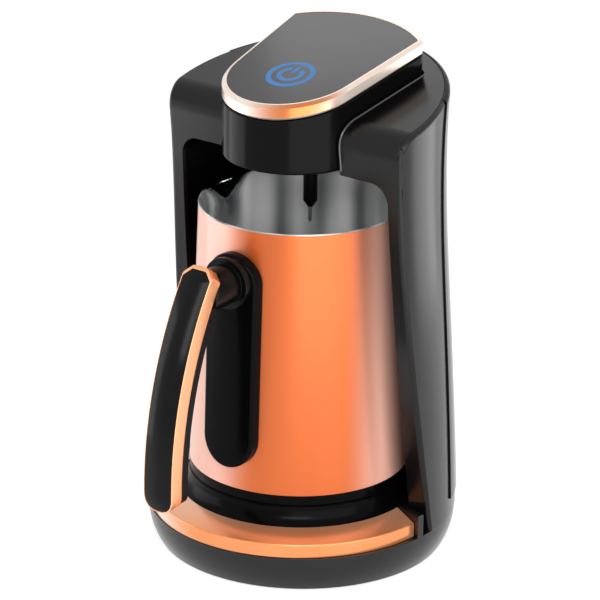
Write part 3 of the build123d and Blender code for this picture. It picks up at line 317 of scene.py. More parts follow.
spun_lines, given, result = new_group(
    "spun_lines",
    {"Lines": 2500.0, "Wander": LINE_WANDER, "Streaks": 3.0, "Contrast": 2.0},
    {"Height": FLOAT, "Streak": FLOAT},
)
split_place = spun_lines.nodes.new("ShaderNodeSeparateXYZ")
spun_lines.links.new(object_place(spun_lines), split_place.inputs[0])
along_x, along_y, along_z = split_place.outputs
turned_by = add_math(spun_lines, "ARCTAN2", along_y, along_x)
square_x = add_math(spun_lines, "POWER", along_x, 2.0)
square_y = add_math(spun_lines, "POWER", along_y, 2.0)
from_axis = add_math(spun_lines, "SQRT", add_math(spun_lines, "ADD", square_x, square_y))
spread = spun_lines.nodes.new("ShaderNodeCombineXYZ")
lines = given.outputs["Lines"]
spun_lines.links.new(add_math(spun_lines, "MULTIPLY", from_axis, lines), spread.inputs[0])
spun_lines.links.new(
    add_math(spun_lines, "MULTIPLY", turned_by, given.outputs["Wander"]), spread.inputs[1]
)
spun_lines.links.new(add_math(spun_lines, "MULTIPLY", along_z, lines), spread.inputs[2])
ring_noise = add_noise(spun_lines, spread.outputs[0], scale=1.0, detail=4.0)
streak_place = spun_lines.nodes.new("ShaderNodeCombineXYZ")
spun_lines.links.new(
    add_math(spun_lines, "MULTIPLY", turned_by, given.outputs["Streaks"]), streak_place.inputs[0]
)
drift = add_math(spun_lines, "MULTIPLY", along_z, STREAK_DRIFT)
spun_lines.links.new(drift, streak_place.inputs[1])
spun_lines.links.new(ring_noise, result.inputs["Height"])
streaks = add_noise(spun_lines, streak_place.outputs[0], scale=1.0, detail=0.5)
centred = add_math(spun_lines, "SUBTRACT", streaks, 0.5)
steeper = add_math(spun_lines, "MULTIPLY", centred, given.outputs["Contrast"])
spread_out = add_math(spun_lines, "ADD", steeper, 0.5)
spun_lines.links.new(
    add_math(spun_lines, "MAXIMUM", add_math(spun_lines, "MINIMUM", spread_out, 1.0), 0.0),
    result.inputs["Streak"],
)
print("group:", spun_lines.name)

# %% Handling marks
PATCH_SCALE, WIPE_SCALE = 28.0, 320.0  # per metre: where hands rest, where cloths pass
WIPE_SHARE = 0.35
LEAST_ROUGHNESS = 0.02

handling_marks, given, result = new_group(
    "handling_marks", {"Roughness": 0.2, "Amount": 0.08}, {"Roughness": FLOAT, "Dust": FLOAT}
)
place = object_place(handling_marks)
patch = add_noise(handling_marks, place, PATCH_SCALE, detail=5.0)
wipe = add_noise(handling_marks, place, WIPE_SCALE, detail=2.0)
wiped = add_math(handling_marks, "MULTIPLY", wipe, WIPE_SHARE)
both = add_math(handling_marks, "ADD", patch, wiped)
centred = add_math(handling_marks, "SUBTRACT", both, 0.5 * (1 + WIPE_SHARE))
shift = add_math(handling_marks, "MULTIPLY", centred, given.outputs["Amount"])
rough = add_math(handling_marks, "ADD", given.outputs["Roughness"], shift)
kept_rough = add_math(handling_marks, "MAXIMUM", rough, LEAST_ROUGHNESS)
handling_marks.links.new(kept_rough, result.inputs["Roughness"])
handling_marks.links.new(patch, result.inputs["Dust"])
print("group:", handling_marks.name)

# %% [markdown]
# ## Finishes
# Every finish is a Principled shader with the groups placed in it at its own values. Constants
# sit on the shader's own sockets. The plastics, and the metals, are each made by one function,
# because only their values differ. First come the small helpers that all of them use.

# %% Finish helpers
MICRON = 0.000001


def place_group(tree, group, **values):
    """Put a group into a material and set its named inputs."""
    node = tree.nodes.new("ShaderNodeGroup")
    node.node_tree = group
    for label, value in values.items():
        node.inputs[label].default_value = value
    return node


def add_bump(tree, height, depth, normal):
    """Bump node: height times depth in microns, on top of a normal."""
    bump = tree.nodes.new("ShaderNodeBump")
    bump.inputs["Distance"].default_value = depth * MICRON
    bump.inputs["Strength"].default_value = 1.0
    tree.links.new(height, bump.inputs["Height"])
    tree.links.new(normal, bump.inputs["Normal"])
    return bump.outputs["Normal"]


def blend_colors(tree, factor, first, second):
    """Mix of two colours by a mask; the first is a colour or a socket."""
    mix = tree.nodes.new("ShaderNodeMix")
    mix.data_type = "RGBA"
    tree.links.new(factor, mix.inputs["Factor"])
    if isinstance(first, tuple):
        mix.inputs[6].default_value = (*first, 1)
    else:
        tree.links.new(first, mix.inputs[6])
    mix.inputs[7].default_value = (*second, 1)
    return mix.outputs[2]


def ease_over(tree, value, begin, full):
    """Mask that rises smoothly from 0 where the value is begin to 1 where it is full."""
    ease = tree.nodes.new("ShaderNodeMapRange")
    ease.interpolation_type = "SMOOTHSTEP"
    ease.inputs["From Min"].default_value = begin
    ease.inputs["From Max"].default_value = full
    tree.links.new(value, ease.inputs["Value"])
    return ease.outputs["Result"]


def new_finish(name, color, sockets):
    """Material with a Principled shader, its base colour and its constant sockets."""
    material = bpy.data.materials.new(name)
    material.use_nodes = True
    shader = material.node_tree.nodes["Principled BSDF"]
    shader.inputs["Base Color"].default_value = (*color, 1)
    for label, value in sockets.items():
        shader.inputs[label].default_value = value
    return material, material.node_tree, shader


finishes = {}
print("one unit of surface depth is", MICRON, "m")

# %% [markdown]
# ### Plastics
# A moulded black is never one black. What tells the parts apart is how much of the room they
# mirror: the shell is a hard gloss, the hood a little calmer, and what stands in the shade of
# the niche gets a painted shade, a darker black that mirrors next to nothing. The head's plate is
# glassy, and the fine lip round the cut-out is bright, because a small radius always finds a
# lamp, and its black is painted a little lighter as a painted highlight.

# %% Plastics
PLAIN = 0.5  # mirror light of an ordinary plastic


def plastic(name, color, edge_highlight_color, rough, marks, grain, depth, specular, subsurface=0.0):
    """Moulded plastic: grain, touched patches, and edges that catch a little more light, by their
    rounded normal and by a painted highlight in a lighter colour.
    """
    material, tree, shader = new_finish(
        name, color, {"Specular IOR Level": specular, "Subsurface Weight": subsurface}
    )
    edges = place_group(tree, soft_edge, Radius=EDGE_RADIUS)
    texture = place_group(tree, moulded_grain, Scale=grain, Wave=GRAIN_WAVE)
    touched = place_group(tree, handling_marks, Roughness=rough, Amount=marks)
    normal = add_bump(tree, texture.outputs["Height"], depth, edges.outputs["Normal"])
    # painted highlight: the edge mask blends in a lighter colour along the edges
    tone = blend_colors(tree, edges.outputs["Edge"], color, edge_highlight_color)
    tree.links.new(tone, shader.inputs["Base Color"])
    tree.links.new(touched.outputs["Roughness"], shader.inputs["Roughness"])
    tree.links.new(normal, shader.inputs["Normal"])
    return material


NEAR_BLACK, BLACK_EDGE_HIGHLIGHT = (0.003, 0.003, 0.0033), (0.02, 0.02, 0.021)
# name: colour, colour of the painted edge highlight, roughness, patchiness, grains per metre,
# microns, mirror light
PLASTICS = {
    "gloss_black": (NEAR_BLACK, BLACK_EDGE_HIGHLIGHT, 0.14, 0.05, 900.0, 2, 0.13),
    "shell_black": (NEAR_BLACK, BLACK_EDGE_HIGHLIGHT, 0.22, 0.05, 900.0, 2, 0.36),
    "hood_black": (NEAR_BLACK, BLACK_EDGE_HIGHLIGHT, 0.2, 0.05, 900.0, 2, 0.26),
    "head_black": (NEAR_BLACK, (0.01, 0.01, 0.011), 0.16, 0.05, 900.0, 2, 0.07),
    # painted highlight: the lip's black is lighter than the other blacks, on top of its strong
    # mirror light
    "lip_black": ((0.03, 0.03, 0.032), (0.05, 0.05, 0.052), 0.16, 0.04, 900.0, 1, 0.9),
    # painted shade: a darker copy of the black, with next to no mirror light, for parts in the
    # niche's shade
    "painted_shade_black": (
        (0.0015, 0.0015, 0.0016), (0.006, 0.006, 0.0065), 0.2, 0.05, 900.0, 2, 0.045,
    ),
    "satin_black": (
        (0.002, 0.002, 0.0021), (0.014, 0.014, 0.015), 0.26, 0.1, 2600.0, 6, 0.12,
    ),
    "panel_black": (
        (0.012, 0.012, 0.013), (0.05, 0.05, 0.052), 0.16, 0.05, 500.0, 1, 0.45,
    ),
    "board_green": ((0.012, 0.11, 0.04), (0.1, 0.16, 0.07), 0.35, 0.1, 1400.0, 20, PLAIN),
    "relay_blue": ((0.01, 0.06, 0.28), (0.04, 0.12, 0.36), 0.35, 0.1, 1200.0, 10, PLAIN),
    "rubber": ((0.015, 0.015, 0.015), (0.03, 0.03, 0.03), 0.75, 0.15, 3200.0, 30, PLAIN),
}
for finish_name, values in PLASTICS.items():
    finishes[finish_name] = plastic(finish_name, *values)
finishes["light_white"] = plastic(
    "light_white", (0.75, 0.78, 0.8), (0.8, 0.82, 0.84), 0.4, 0.08, 900.0, 5, PLAIN,
    subsurface=0.2,
)
print("plastics:", len(finishes))

# %% [markdown]
# ### Metals
# Spun, drawn and turned metal all carry fine lines round their axis and slow streaks of tone.
# The colours are those of the metal as it mirrors: steel is a middle grey, brass a warm yellow.
# Rose gold here is a thin plated colour with some dull lacquer in it, so it is not fully metal.

# %% Metals
METAL_EDGE = 0.0002


def metal(
    name, color, shade, rough, marks, lines, depth,
    streaks=(3.0, 2.0), metallic=1.0, coat=0.0, coat_rough=0.03,
):
    """Turned or brushed metal: fine rings, slow streaks of tone and touched patches."""
    material, tree, shader = new_finish(
        name, color, {"Metallic": metallic, "Coat Weight": coat, "Coat Roughness": coat_rough}
    )
    edges = place_group(tree, soft_edge, Radius=METAL_EDGE)
    turned = place_group(
        tree, spun_lines,
        Lines=lines, Wander=LINE_WANDER, Streaks=streaks[0], Contrast=streaks[1],
    )
    touched = place_group(tree, handling_marks, Roughness=rough, Amount=marks)
    normal = add_bump(tree, turned.outputs["Height"], depth, edges.outputs["Normal"])
    tone = blend_colors(tree, turned.outputs["Streak"], color, shade)
    tree.links.new(tone, shader.inputs["Base Color"])
    tree.links.new(touched.outputs["Roughness"], shader.inputs["Roughness"])
    tree.links.new(normal, shader.inputs["Normal"])
    return material


# name: colour, colour of streaks, roughness, patchiness, lines per metre, microns
METALS = {
    "steel": ((0.55, 0.55, 0.55), (0.42, 0.43, 0.43), 0.32, 0.12, 1800.0, 4),
    "screw_steel": ((0.5, 0.5, 0.5), (0.38, 0.38, 0.39), 0.35, 0.1, 3000.0, 3),
    "core_steel": ((0.32, 0.31, 0.3), (0.22, 0.21, 0.2), 0.5, 0.15, 1400.0, 6),
    "can_aluminium": ((0.62, 0.62, 0.63), (0.52, 0.52, 0.53), 0.4, 0.1, 1500.0, 4),
    "contact_brass": ((0.78, 0.55, 0.22), (0.66, 0.44, 0.16), 0.28, 0.1, 2200.0, 3),
}
for finish_name, values in METALS.items():
    finishes[finish_name] = metal(finish_name, *values)
finishes["copper"] = metal(
    "copper", (0.92, 0.27, 0.085), (0.84, 0.21, 0.06), 0.2, 0.06, 2600.0, 1.5,
    coat=0.5, coat_rough=0.06,
)
finishes["rose_gold"] = metal(
    "rose_gold", (0.95, 0.47, 0.24), (0.9, 0.4, 0.18), 0.24, 0.06, 2600.0, 1.5,
    metallic=0.6, coat=0.5, coat_rough=0.06,
)
print("plastics and metals:", len(finishes))

# %% [markdown]
# ### Copper lacquer
# The pot, the ring and the band are sheet metal under a coloured lacquer. Seen square on, it is
# a deep orange metal. Where the surface turns away from the eye, a painted sheen takes the colour
# to pink and cream and lowers the metal share, so the pale highlights are painted into the
# colour. Layer Weight gives how far the surface turns away, and stays in the material, outside
# any group.

# %% Copper lacquer
LACQUER_COAT, LACQUER_COAT_ROUGHNESS = 0.3, 0.1


def lacquer(name, color, shade, painted_sheen_color, rough, lines, sheen, metallic):
    """Metal under a tinted lacquer, with a painted sheen: where the surface turns away, the colour
    is painted pale.
    The mask rises smoothly from 0 to 1 over the sheen's range of 1 - cos(angle to the eye),
    and the share of metal goes from its first value to its second with it."""
    material = metal(
        name, color, shade, rough, marks=0.06, lines=lines, depth=2,
        coat=LACQUER_COAT, coat_rough=LACQUER_COAT_ROUGHNESS,
    )
    tree = material.node_tree
    shader = tree.nodes["Principled BSDF"]
    facing = tree.nodes.new("ShaderNodeLayerWeight")
    facing.inputs["Blend"].default_value = 0.5
    # painted sheen: the colour goes pale and the metal share falls where the surface turns away
    # from the eye
    turned = ease_over(tree, facing.outputs["Facing"], *sheen)
    own_tone = shader.inputs["Base Color"].links[0].from_socket
    tone = blend_colors(tree, turned, own_tone, painted_sheen_color)
    tree.links.new(tone, shader.inputs["Base Color"])
    dull = add_math(tree, "MULTIPLY", turned, metallic[1] - metallic[0])
    tree.links.new(add_math(tree, "ADD", dull, metallic[0]), shader.inputs["Metallic"])
    return material


# name: colour, streaks, painted pale sheen, roughness, lines per metre, range of the sheen, metal
# share
LACQUERS = {
    "copper_lacquer": (
        (0.60, 0.132, 0.03), (0.55, 0.115, 0.025), (0.92, 0.50, 0.39),
        0.36, 2200.0, (0.14, 0.42), (0.85, 0.05),
    ),
    "band_lacquer": (
        (0.66, 0.2, 0.055), (0.6, 0.17, 0.045), (0.94, 0.8, 0.7),
        0.22, 2600.0, (0.04, 0.30), (1.0, 0.45),
    ),
    "ring_lacquer": (
        (0.84, 0.30, 0.105), (0.78, 0.26, 0.085), (1.0, 0.84, 0.68),
        0.24, 2600.0, (0.34, 0.80), (0.6, 0.25),
    ),
}
for finish_name, values in LACQUERS.items():
    finishes[finish_name] = lacquer(finish_name, *values)
print("lacquers:", len(LACQUERS))

# %% [markdown]
# ### The cup's steel
# The cup is brushed to a dull white inside, with broad soft dark bands painted down its wall as
# painted reflections, since its steel mirrors little. Only where the press has drawn the spout is
# the steel polished, so there it mirrors the dark niche. A mask on the place of the point tells
# the two apart: it depends on the height and on how far the point lies towards the spout.

# %% Cup steel
POLISH = 0.65  # share of the roughness that polishing takes away
POLISHED_TONE = (0.32, 0.33, 0.34)


def polish_spout(material, begin, full, low, high):
    """Polished steel where the press has drawn the spout: the mask is the product of two that
    rise with the distance towards -X, from begin to full, and with the height, low to high."""
    tree = material.node_tree
    shader = tree.nodes["Principled BSDF"]
    split = tree.nodes.new("ShaderNodeSeparateXYZ")
    tree.links.new(object_place(tree), split.inputs[0])
    aside = ease_over(tree, add_math(tree, "MULTIPLY", split.outputs[0], -1.0), begin, full)
    raised = ease_over(tree, split.outputs[2], low, high)
    share = add_math(tree, "MULTIPLY", aside, raised)
    own_tone = shader.inputs["Base Color"].links[0].from_socket
    own_rough = shader.inputs["Roughness"].links[0].from_socket
    tone = blend_colors(tree, share, own_tone, POLISHED_TONE)
    tree.links.new(tone, shader.inputs["Base Color"])
    kept = add_math(tree, "SUBTRACT", 1.0, add_math(tree, "MULTIPLY", share, POLISH))
    tree.links.new(add_math(tree, "MULTIPLY", own_rough, kept), shader.inputs["Roughness"])
    own_metal = shader.inputs["Metallic"].default_value
    more = add_math(tree, "MULTIPLY", share, 1.0 - own_metal)
    tree.links.new(add_math(tree, "ADD", more, own_metal), shader.inputs["Metallic"])


# painted reflections: the dark streak colour draws bands down the nearly dull white wall
finishes["cup_steel"] = metal(
    "cup_steel", (1.0, 1.0, 1.0), (0.2, 0.21, 0.21), 0.36, 0.12, 1800.0, 4,
    streaks=(3.4, 3.0), metallic=0.05,
)
polish_spout(finishes["cup_steel"], 0.0425, 0.0445, 0.130, 0.158)
print("finishes:", len(finishes))

# %% [markdown]
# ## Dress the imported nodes
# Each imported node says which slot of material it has, and takes the finish of that name. Some
# pieces share a slot and still look different on the machine, because one stands in the light
# and the other in the shade, so a short list gives those a finish of their own.

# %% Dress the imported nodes
slot_of = {row["node"]: row["material_slot"] for row in frame["record"]["subparts"]}
OWN_FINISH = {
    "body_shell": "shell_black",
    "front_frame": "hood_black",
    "head_band": "band_lacquer",
    "head_shell": "head_black",
    "rear_cover": "gloss_black",
    "plinth": "painted_shade_black",
    "pot_collar": "painted_shade_black",
    "end_ridges": "shell_black",
    "handle_mount": "painted_shade_black",
    "niche_liner": "painted_shade_black",
}
for name, node in nodes.items():
    node.data.materials.clear()
    node.data.materials.append(finishes[OWN_FINISH.get(name, slot_of[name])])
print("dressed:", len(nodes), "nodes,", len(OWN_FINISH), "with a finish of their own")

# %% [markdown]
# ## Surfaces from arrays
# The pieces that follow are grids of points: a shape is worked out for all its points at once,
# and the quads between them come from their numbers in the grid. Sizes are in millimetres, as on
# a drawing, and become metres when the mesh is made.

# %% Grid helpers
MM = 0.001
MERGE_WITHIN, SLIVER = 0.000002, 0.000001  # metres
CORNER_STEPS = 6
CREASE = 38.0  # degrees; a sharper bend than this stays an edge


def grid_quads(rows, cols, close_rows=False, close_cols=False):
    """Quads of a grid numbered row by row: (i, j), (i, j+1), (i+1, j+1), (i+1, j)."""
    i = np.arange(rows if close_rows else rows - 1)[:, None]
    j = np.arange(cols if close_cols else cols - 1)[None, :]
    below = (i + 1) % rows
    beside = (j + 1) % cols
    corners = [i * cols + j, i * cols + beside, below * cols + beside, below * cols + j]
    return np.stack(corners, axis=-1).reshape(-1, 4).tolist()


def round_corners(corners, cuts, steps=CORNER_STEPS):
    """Closed outline with each corner P eased: (1-t)^2 A + 2t(1-t) P + t^2 B, where A and B lie
    the corner's cut away from P along its two sides."""
    corners = np.asarray(corners, float)
    cuts = np.broadcast_to(np.asarray(cuts, float), len(corners))[:, None]
    before = np.roll(corners, 1, axis=0) - corners
    after = np.roll(corners, -1, axis=0) - corners
    start = corners + before / np.linalg.norm(before, axis=1, keepdims=True) * cuts
    stop = corners + after / np.linalg.norm(after, axis=1, keepdims=True) * cuts
    t = np.linspace(0, 1, steps)[None, :, None]
    eased = (1 - t) ** 2 * start[:, None] + 2 * t * (1 - t) * corners[:, None]
    return (eased + t**2 * stop[:, None]).reshape(-1, 2)


def make_piece(name, points, quads, finish, body, replaced=(), crease=CREASE):
    """Mesh from a grid of points in millimetres: doubles merged, faces turned outwards."""
    shape = bmesh.new()
    mesh = bpy.data.meshes.new(name)
    mesh.from_pydata((points.reshape(-1, 3) * MM).tolist(), [], quads)
    shape.from_mesh(mesh)
    bmesh.ops.remove_doubles(shape, verts=shape.verts, dist=MERGE_WITHIN)
    bmesh.ops.dissolve_degenerate(shape, edges=shape.edges, dist=SLIVER)
    bmesh.ops.recalc_face_normals(shape, faces=shape.faces)
    shape.to_mesh(mesh)
    open_edges = sum(1 for edge in shape.edges if not edge.is_manifold)
    shape.free()
    mesh.polygons.foreach_set("use_smooth", np.ones(len(mesh.polygons), bool))
    mesh.set_sharp_from_angle(angle=radians(crease))
    mesh.materials.append(finish)
    piece = bpy.data.objects.new(name, mesh)
    scene.collection.objects.link(piece)
    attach(piece, body)
    if replaced:
        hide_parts(*replaced)
    print(name, "faces", len(mesh.polygons), "open edges", open_edges)
    return piece


def soft_max(first, second, width):
    """The larger of two arrays, with a fillet of about this width where they cross."""
    share = np.clip(0.5 + 0.5 * (first - second) / width, 0, 1)
    return second * (1 - share) + first * share + width * share * (1 - share)


print("shapes are drawn in units of", MM, "m")

# %% [markdown]
# ## The copper pot
# The sleeve is a tapered sheet-metal cone, and the spout is pressed out of its rim as a beak:
# seen from above a V, with a keel that rises outwards. As a solid, that V meets the cone in hard
# lines. Here its distance from the axis is worked out for every direction and height, and joined
# to the cone by a soft maximum, which is the fillet that a press tool would leave.

# %% Pot shape
RIM_RADIUS, RIM_HEIGHT = 47.2, 166.7
POT_FOOT_RADIUS, POT_FOOT_HEIGHT = 51.4, 40.9
POT_LEAN = (POT_FOOT_RADIUS - RIM_RADIUS) / (RIM_HEIGHT - POT_FOOT_HEIGHT)
# the spout: distance from the axis, half width, depth below the rim
SPOUT_ROOT = (40.0, 13.5, 15.0)
SPOUT_TIP = (53.0, 2.4, 3.0)
SPOUT_RUN = (-1.0, 1.2)  # the line from root to tip is followed this far, in its own lengths
SPOUT_DIP = 3.0
SPOUT_SECTOR = 1.0  # radians to either side
KEEL_ROUND, TIP_FILLET, ROOT_FILLET = 2.0, 1.5, 2.0
SKIN_DEPTH = 12  # what lies deeper inside, the cup's floor, keeps round
NEAREST, FARTHEST, HALVINGS = 30.0, 60.0, 26
POT_STEPS = 288


def pot_radius(z):
    """Outer radius of the sleeve at height z: it widens evenly downwards."""
    return RIM_RADIUS + POT_LEAN * (RIM_HEIGHT - z)


def spout_reach(angle, drop):
    """Distance from the axis to the spout's skin, by halving: the skin is where
    aside / half width + drop / depth = 1, and both shrink evenly from root to tip. Aside is
    sqrt(y^2 + r^2) - r, which rounds the keel."""
    low = np.full(np.broadcast(angle, drop).shape, NEAREST)
    high = np.full_like(low, FARTHEST)
    for _ in range(HALVINGS):
        middle = (low + high) / 2
        along = (middle * np.cos(angle) - SPOUT_ROOT[0]) / (SPOUT_TIP[0] - SPOUT_ROOT[0])
        along = np.clip(along, *SPOUT_RUN)
        half = SPOUT_ROOT[1] + (SPOUT_TIP[1] - SPOUT_ROOT[1]) * along
        depth = SPOUT_ROOT[2] + (SPOUT_TIP[2] - SPOUT_ROOT[2]) * along
        aside = np.sqrt((middle * np.sin(angle)) ** 2 + KEEL_ROUND**2) - KEEL_ROUND
        outside = aside / half + drop / depth > 1
        high = np.where(outside, middle, high)
        low = np.where(outside, low, middle)
    tip = SPOUT_TIP[0] / np.cos(np.clip(angle, -SPOUT_SECTOR, SPOUT_SECTOR))
    return -soft_max(-low, -tip, TIP_FILLET)


def pot_surface(profile):
    """Carry a profile of (radius, height) round the axis, pushed out where the spout is. The
    rim sinks there in proportion to how far it is pushed out, down to the spout's root."""
    angle = np.linspace(-pi, pi, POT_STEPS, endpoint=False)[:, None]
    radius, height = profile[None, :, 0], profile[None, :, 1]
    inset = pot_radius(height) - radius
    drop = np.maximum(RIM_HEIGHT - height, 0)
    beak = np.where(inset < SKIN_DEPTH, spout_reach(angle, drop) - inset, 0)
    reach = soft_max(radius + 0 * angle, beak, ROOT_FILLET) * (radius > 0)
    bulge = np.where(np.abs(angle) < SPOUT_SECTOR, reach, radius + 0 * angle)
    pushed = np.clip((bulge - radius) / (SPOUT_TIP[0] - RIM_RADIUS), 0, 1)
    sunk = SPOUT_DIP * pushed * np.clip(1 - drop / SPOUT_ROOT[2], 0, 1)
    place = [-bulge * np.cos(angle), bulge * np.sin(angle), height - sunk]
    return np.stack(place, axis=-1)


print("pot: radius", RIM_RADIUS, "at the rim,", POT_FOOT_RADIUS, "at the foot")

# %% Copper sleeve
LIP_LOW = 166.0
SLEEVE_WALL = 1.0
SLEEVE_ROWS = 60
CROWDING = 0.6  # below 1 the rows of points crowd towards the rim

sleeve_rise = np.linspace(0, 1, SLEEVE_ROWS) ** CROWDING
sleeve_heights = POT_FOOT_HEIGHT + (LIP_LOW - POT_FOOT_HEIGHT) * sleeve_rise
outer_wall = np.stack([pot_radius(sleeve_heights), sleeve_heights], axis=1)
inner_wall = outer_wall[::-1] - (SLEEVE_WALL, 0)
sleeve_profile = np.concatenate([outer_wall, inner_wall])
make_piece(
    "copper_sleeve",
    pot_surface(sleeve_profile),
    grid_quads(POT_STEPS, len(sleeve_profile), close_rows=True, close_cols=True),
    finishes["copper_lacquer"],
    "pot",
    ("pot_sleeve",),
)

# %% [markdown]
# The steel cup hangs inside the sleeve. Its wall leans outwards just below the rim and rolls
# over the sleeve's edge, so from above only a thin bright line of steel parts the copper from
# the inside.

# %% Steel cup
CUP_FLOOR = 54.0
CUP_INSET = 3.2
CUP_ROUND = 7.0
CUP_WALL = 1.0
WALL_TOP = 158.0
FLOOR_STEPS, BEND_STEPS, WALL_STEPS, FLARE_STEPS = 8, 9, 40, 18
RIM_CREASE = 85.0
# distance outside the rim's radius, height
INNER_FLARE = [(-2.7, 160.5), (-2.2, 163.0), (-1.6, 165.0), (-1.1, 166.2), (-0.7, 166.6)]
ROLL_OVER = [(-0.3, 166.7), (0.05, 166.62), (0.1, 166.35), (0.05, 166.1)]
OUTER_FLARE = [(-2.1, 162.0), (-1.5, 165.2), (-1.1, 165.95)]


def from_rim(points):
    """Profile (radius, height) of points given by their distance outside the rim's radius."""
    return np.array(points) + (RIM_RADIUS, 0)


def cup_wall(inset, floor, corner, flare):
    """Half profile of the cup, from the axis outwards and up: floor, round, wall, and a flare
    whose few corners are divided evenly in height, so that the spout's crease runs smoothly."""
    foot = pot_radius(floor + corner) - inset - corner
    flat = np.stack([np.linspace(0, foot, FLOOR_STEPS), np.full(FLOOR_STEPS, floor)], axis=1)
    turn_in = np.linspace(0, pi / 2, BEND_STEPS)
    bend = np.stack(
        [foot + corner * np.sin(turn_in), floor + corner * (1 - np.cos(turn_in))], axis=1
    )
    rise = np.linspace(floor + corner, WALL_TOP, WALL_STEPS)[1:]
    wall = np.stack([pot_radius(rise) - inset, rise], axis=1)
    bent = np.concatenate([wall[-1:], from_rim(flare)])
    fine_rise = np.linspace(bent[0, 1], bent[-1, 1], FLARE_STEPS)[1:]
    fine = np.stack([np.interp(fine_rise, bent[:, 1], bent[:, 0]), fine_rise], axis=1)
    return np.concatenate([flat, bend[1:], wall, fine])


inside = cup_wall(CUP_INSET, CUP_FLOOR, CUP_ROUND, INNER_FLARE)
outside = cup_wall(CUP_INSET - CUP_WALL, CUP_FLOOR - CUP_WALL, CUP_ROUND + CUP_WALL, OUTER_FLARE)
cup_profile = np.concatenate([inside, from_rim(ROLL_OVER), outside[::-1]])
make_piece(
    "steel_cup",
    pot_surface(cup_profile),
    grid_quads(POT_STEPS, len(cup_profile), close_rows=True),
    finishes["cup_steel"],
    "pot",
    ("vessel",),
    crease=RIM_CREASE,
)

# %% [markdown]
# ## The ring round the base
# A copper ring lies on the base in front and ends in an oblique cut beside each cheek. Its
# profile is carried round the axis, and each point of the profile stops where its own circle
# meets the plane of the cut, so the ends are flat.

# %% Base ring
# corners of the profile (radius, height), and how far each is eased
RING_CORNERS = [(67.6, 18.1), (69.6, 18.1), (69.6, 24.7), (56.2, 27.5), (56.2, 25.5), (67.6, 22.7)]
RING_CUTS = [0.2, 0.3, 0.7, 0.4, 0.2, 0.2]
RING_END = (69.55, -2.6)  # a point (x, y) of the plane of the cut
RING_TURN = radians(20.0)
RING_STEPS = 220


def ring_surface(profile):
    """Points at (radius, height) on arcs that end at the plane x sin t + y cos t = offset."""
    offset = RING_END[0] * sin(RING_TURN) + RING_END[1] * cos(RING_TURN)
    radius, height = profile[None, :, 0], profile[None, :, 1]
    end = pi / 2 - RING_TURN - np.arccos(offset / radius)
    share = np.linspace(0, 1, RING_STEPS)[:, None]
    angle = -pi - end + share * (pi + 2 * end)
    return np.stack(
        [radius * np.cos(angle), radius * np.sin(angle), height + 0 * angle], axis=-1
    )


ring_profile = round_corners(RING_CORNERS, RING_CUTS)
ring_quads = grid_quads(RING_STEPS, len(ring_profile), close_cols=True)
first_cap = list(range(len(ring_profile)))
last_cap = [(RING_STEPS - 1) * len(ring_profile) + i for i in first_cap]
make_piece(
    "copper_ring",
    ring_surface(ring_profile),
    ring_quads + [first_cap, last_cap],
    finishes["ring_lacquer"],
    "housing",
    ("base_trim",),
)

# %% [markdown]
# ## The grip
# The grip is a bent bar: a copper frame with cut upper corners that holds a glossy black panel,
# crowned like a pebble. Both are carried along the same arc. A point is given by its distance
# along the arc, across it, and its depth below the outer face. Four outlines are enough: the
# frame's, that of the bed cut into it, the panel's, and a spine in the middle, where all close.

# %% Grip helpers
GRIP_CENTRE = (77.6, 54.3)  # (y, z), the centre of the circle that the bar follows
GRIP_RADIUS = 181.4
GRIP_START, GRIP_STOP = radians(146.1), radians(182.6)
GRIP_LENGTH = GRIP_RADIUS * (GRIP_STOP - GRIP_START)
FRAME_DEPTH = 7.2
PANEL_BED = 3.0
SPINE_END = 8.0
EASE_STEPS, SIDE_STEPS = 9, 36


def grip_outline(half, head, tail, cut, corner, ease):
    """Closed outline (across, along): cut corners above, round ones below, sides divided."""
    low, high = head, GRIP_LENGTH - tail
    corners = np.array(
        [(-half, low + cut), (-half + cut, low), (half - cut, low), (half, low + cut)]
        + [(half, high), (-half, high)]
    )
    rounded = round_corners(corners, [ease] * 4 + [corner] * 2, EASE_STEPS)
    rounded = rounded.reshape(len(corners), EASE_STEPS, 2)
    share = np.linspace(0, 1, SIDE_STEPS + 2)[1:-1][None, :, None]
    leave, reach = rounded[:, -1:], np.roll(rounded[:, :1], -1, axis=0)
    sides = leave * (1 - share) + reach * share
    return np.concatenate([rounded, sides], axis=1).reshape(-1, 2)


def spine_outline(outline):
    """The same points drawn in to the middle line of the bar."""
    along = np.clip(outline[:, 1], SPINE_END, GRIP_LENGTH - SPINE_END)
    return np.stack([np.zeros(len(outline)), along], axis=1)


def grip_surface(outlines, profile):
    """Blend between outlines by the profile's first value, at the depth of its second one:
    angle = start + along / radius, and the point lies at radius minus depth from the centre."""
    stack = np.stack(outlines)
    level = profile[:, 0]
    index = np.minimum(level.astype(int), len(outlines) - 2)
    share = (level - index)[:, None, None]
    plan = stack[index] * (1 - share) + stack[index + 1] * share
    angle = GRIP_START + plan[..., 1] / GRIP_RADIUS
    away = GRIP_RADIUS - profile[:, 1][:, None]
    y = GRIP_CENTRE[0] + away * np.cos(angle)
    z = GRIP_CENTRE[1] + away * np.sin(angle)
    return np.stack([plan[..., 0], y, z], axis=-1)


print("grip:", round(GRIP_LENGTH, 1), "mm along its arc")

# %% Copper frame of the grip
frame_edge = grip_outline(half=8.2, head=0.0, tail=0.0, cut=4.1, corner=8.0, ease=0.7)
bed_edge = grip_outline(half=7.8, head=2.0, tail=0.7, cut=3.9, corner=7.6, ease=0.5)
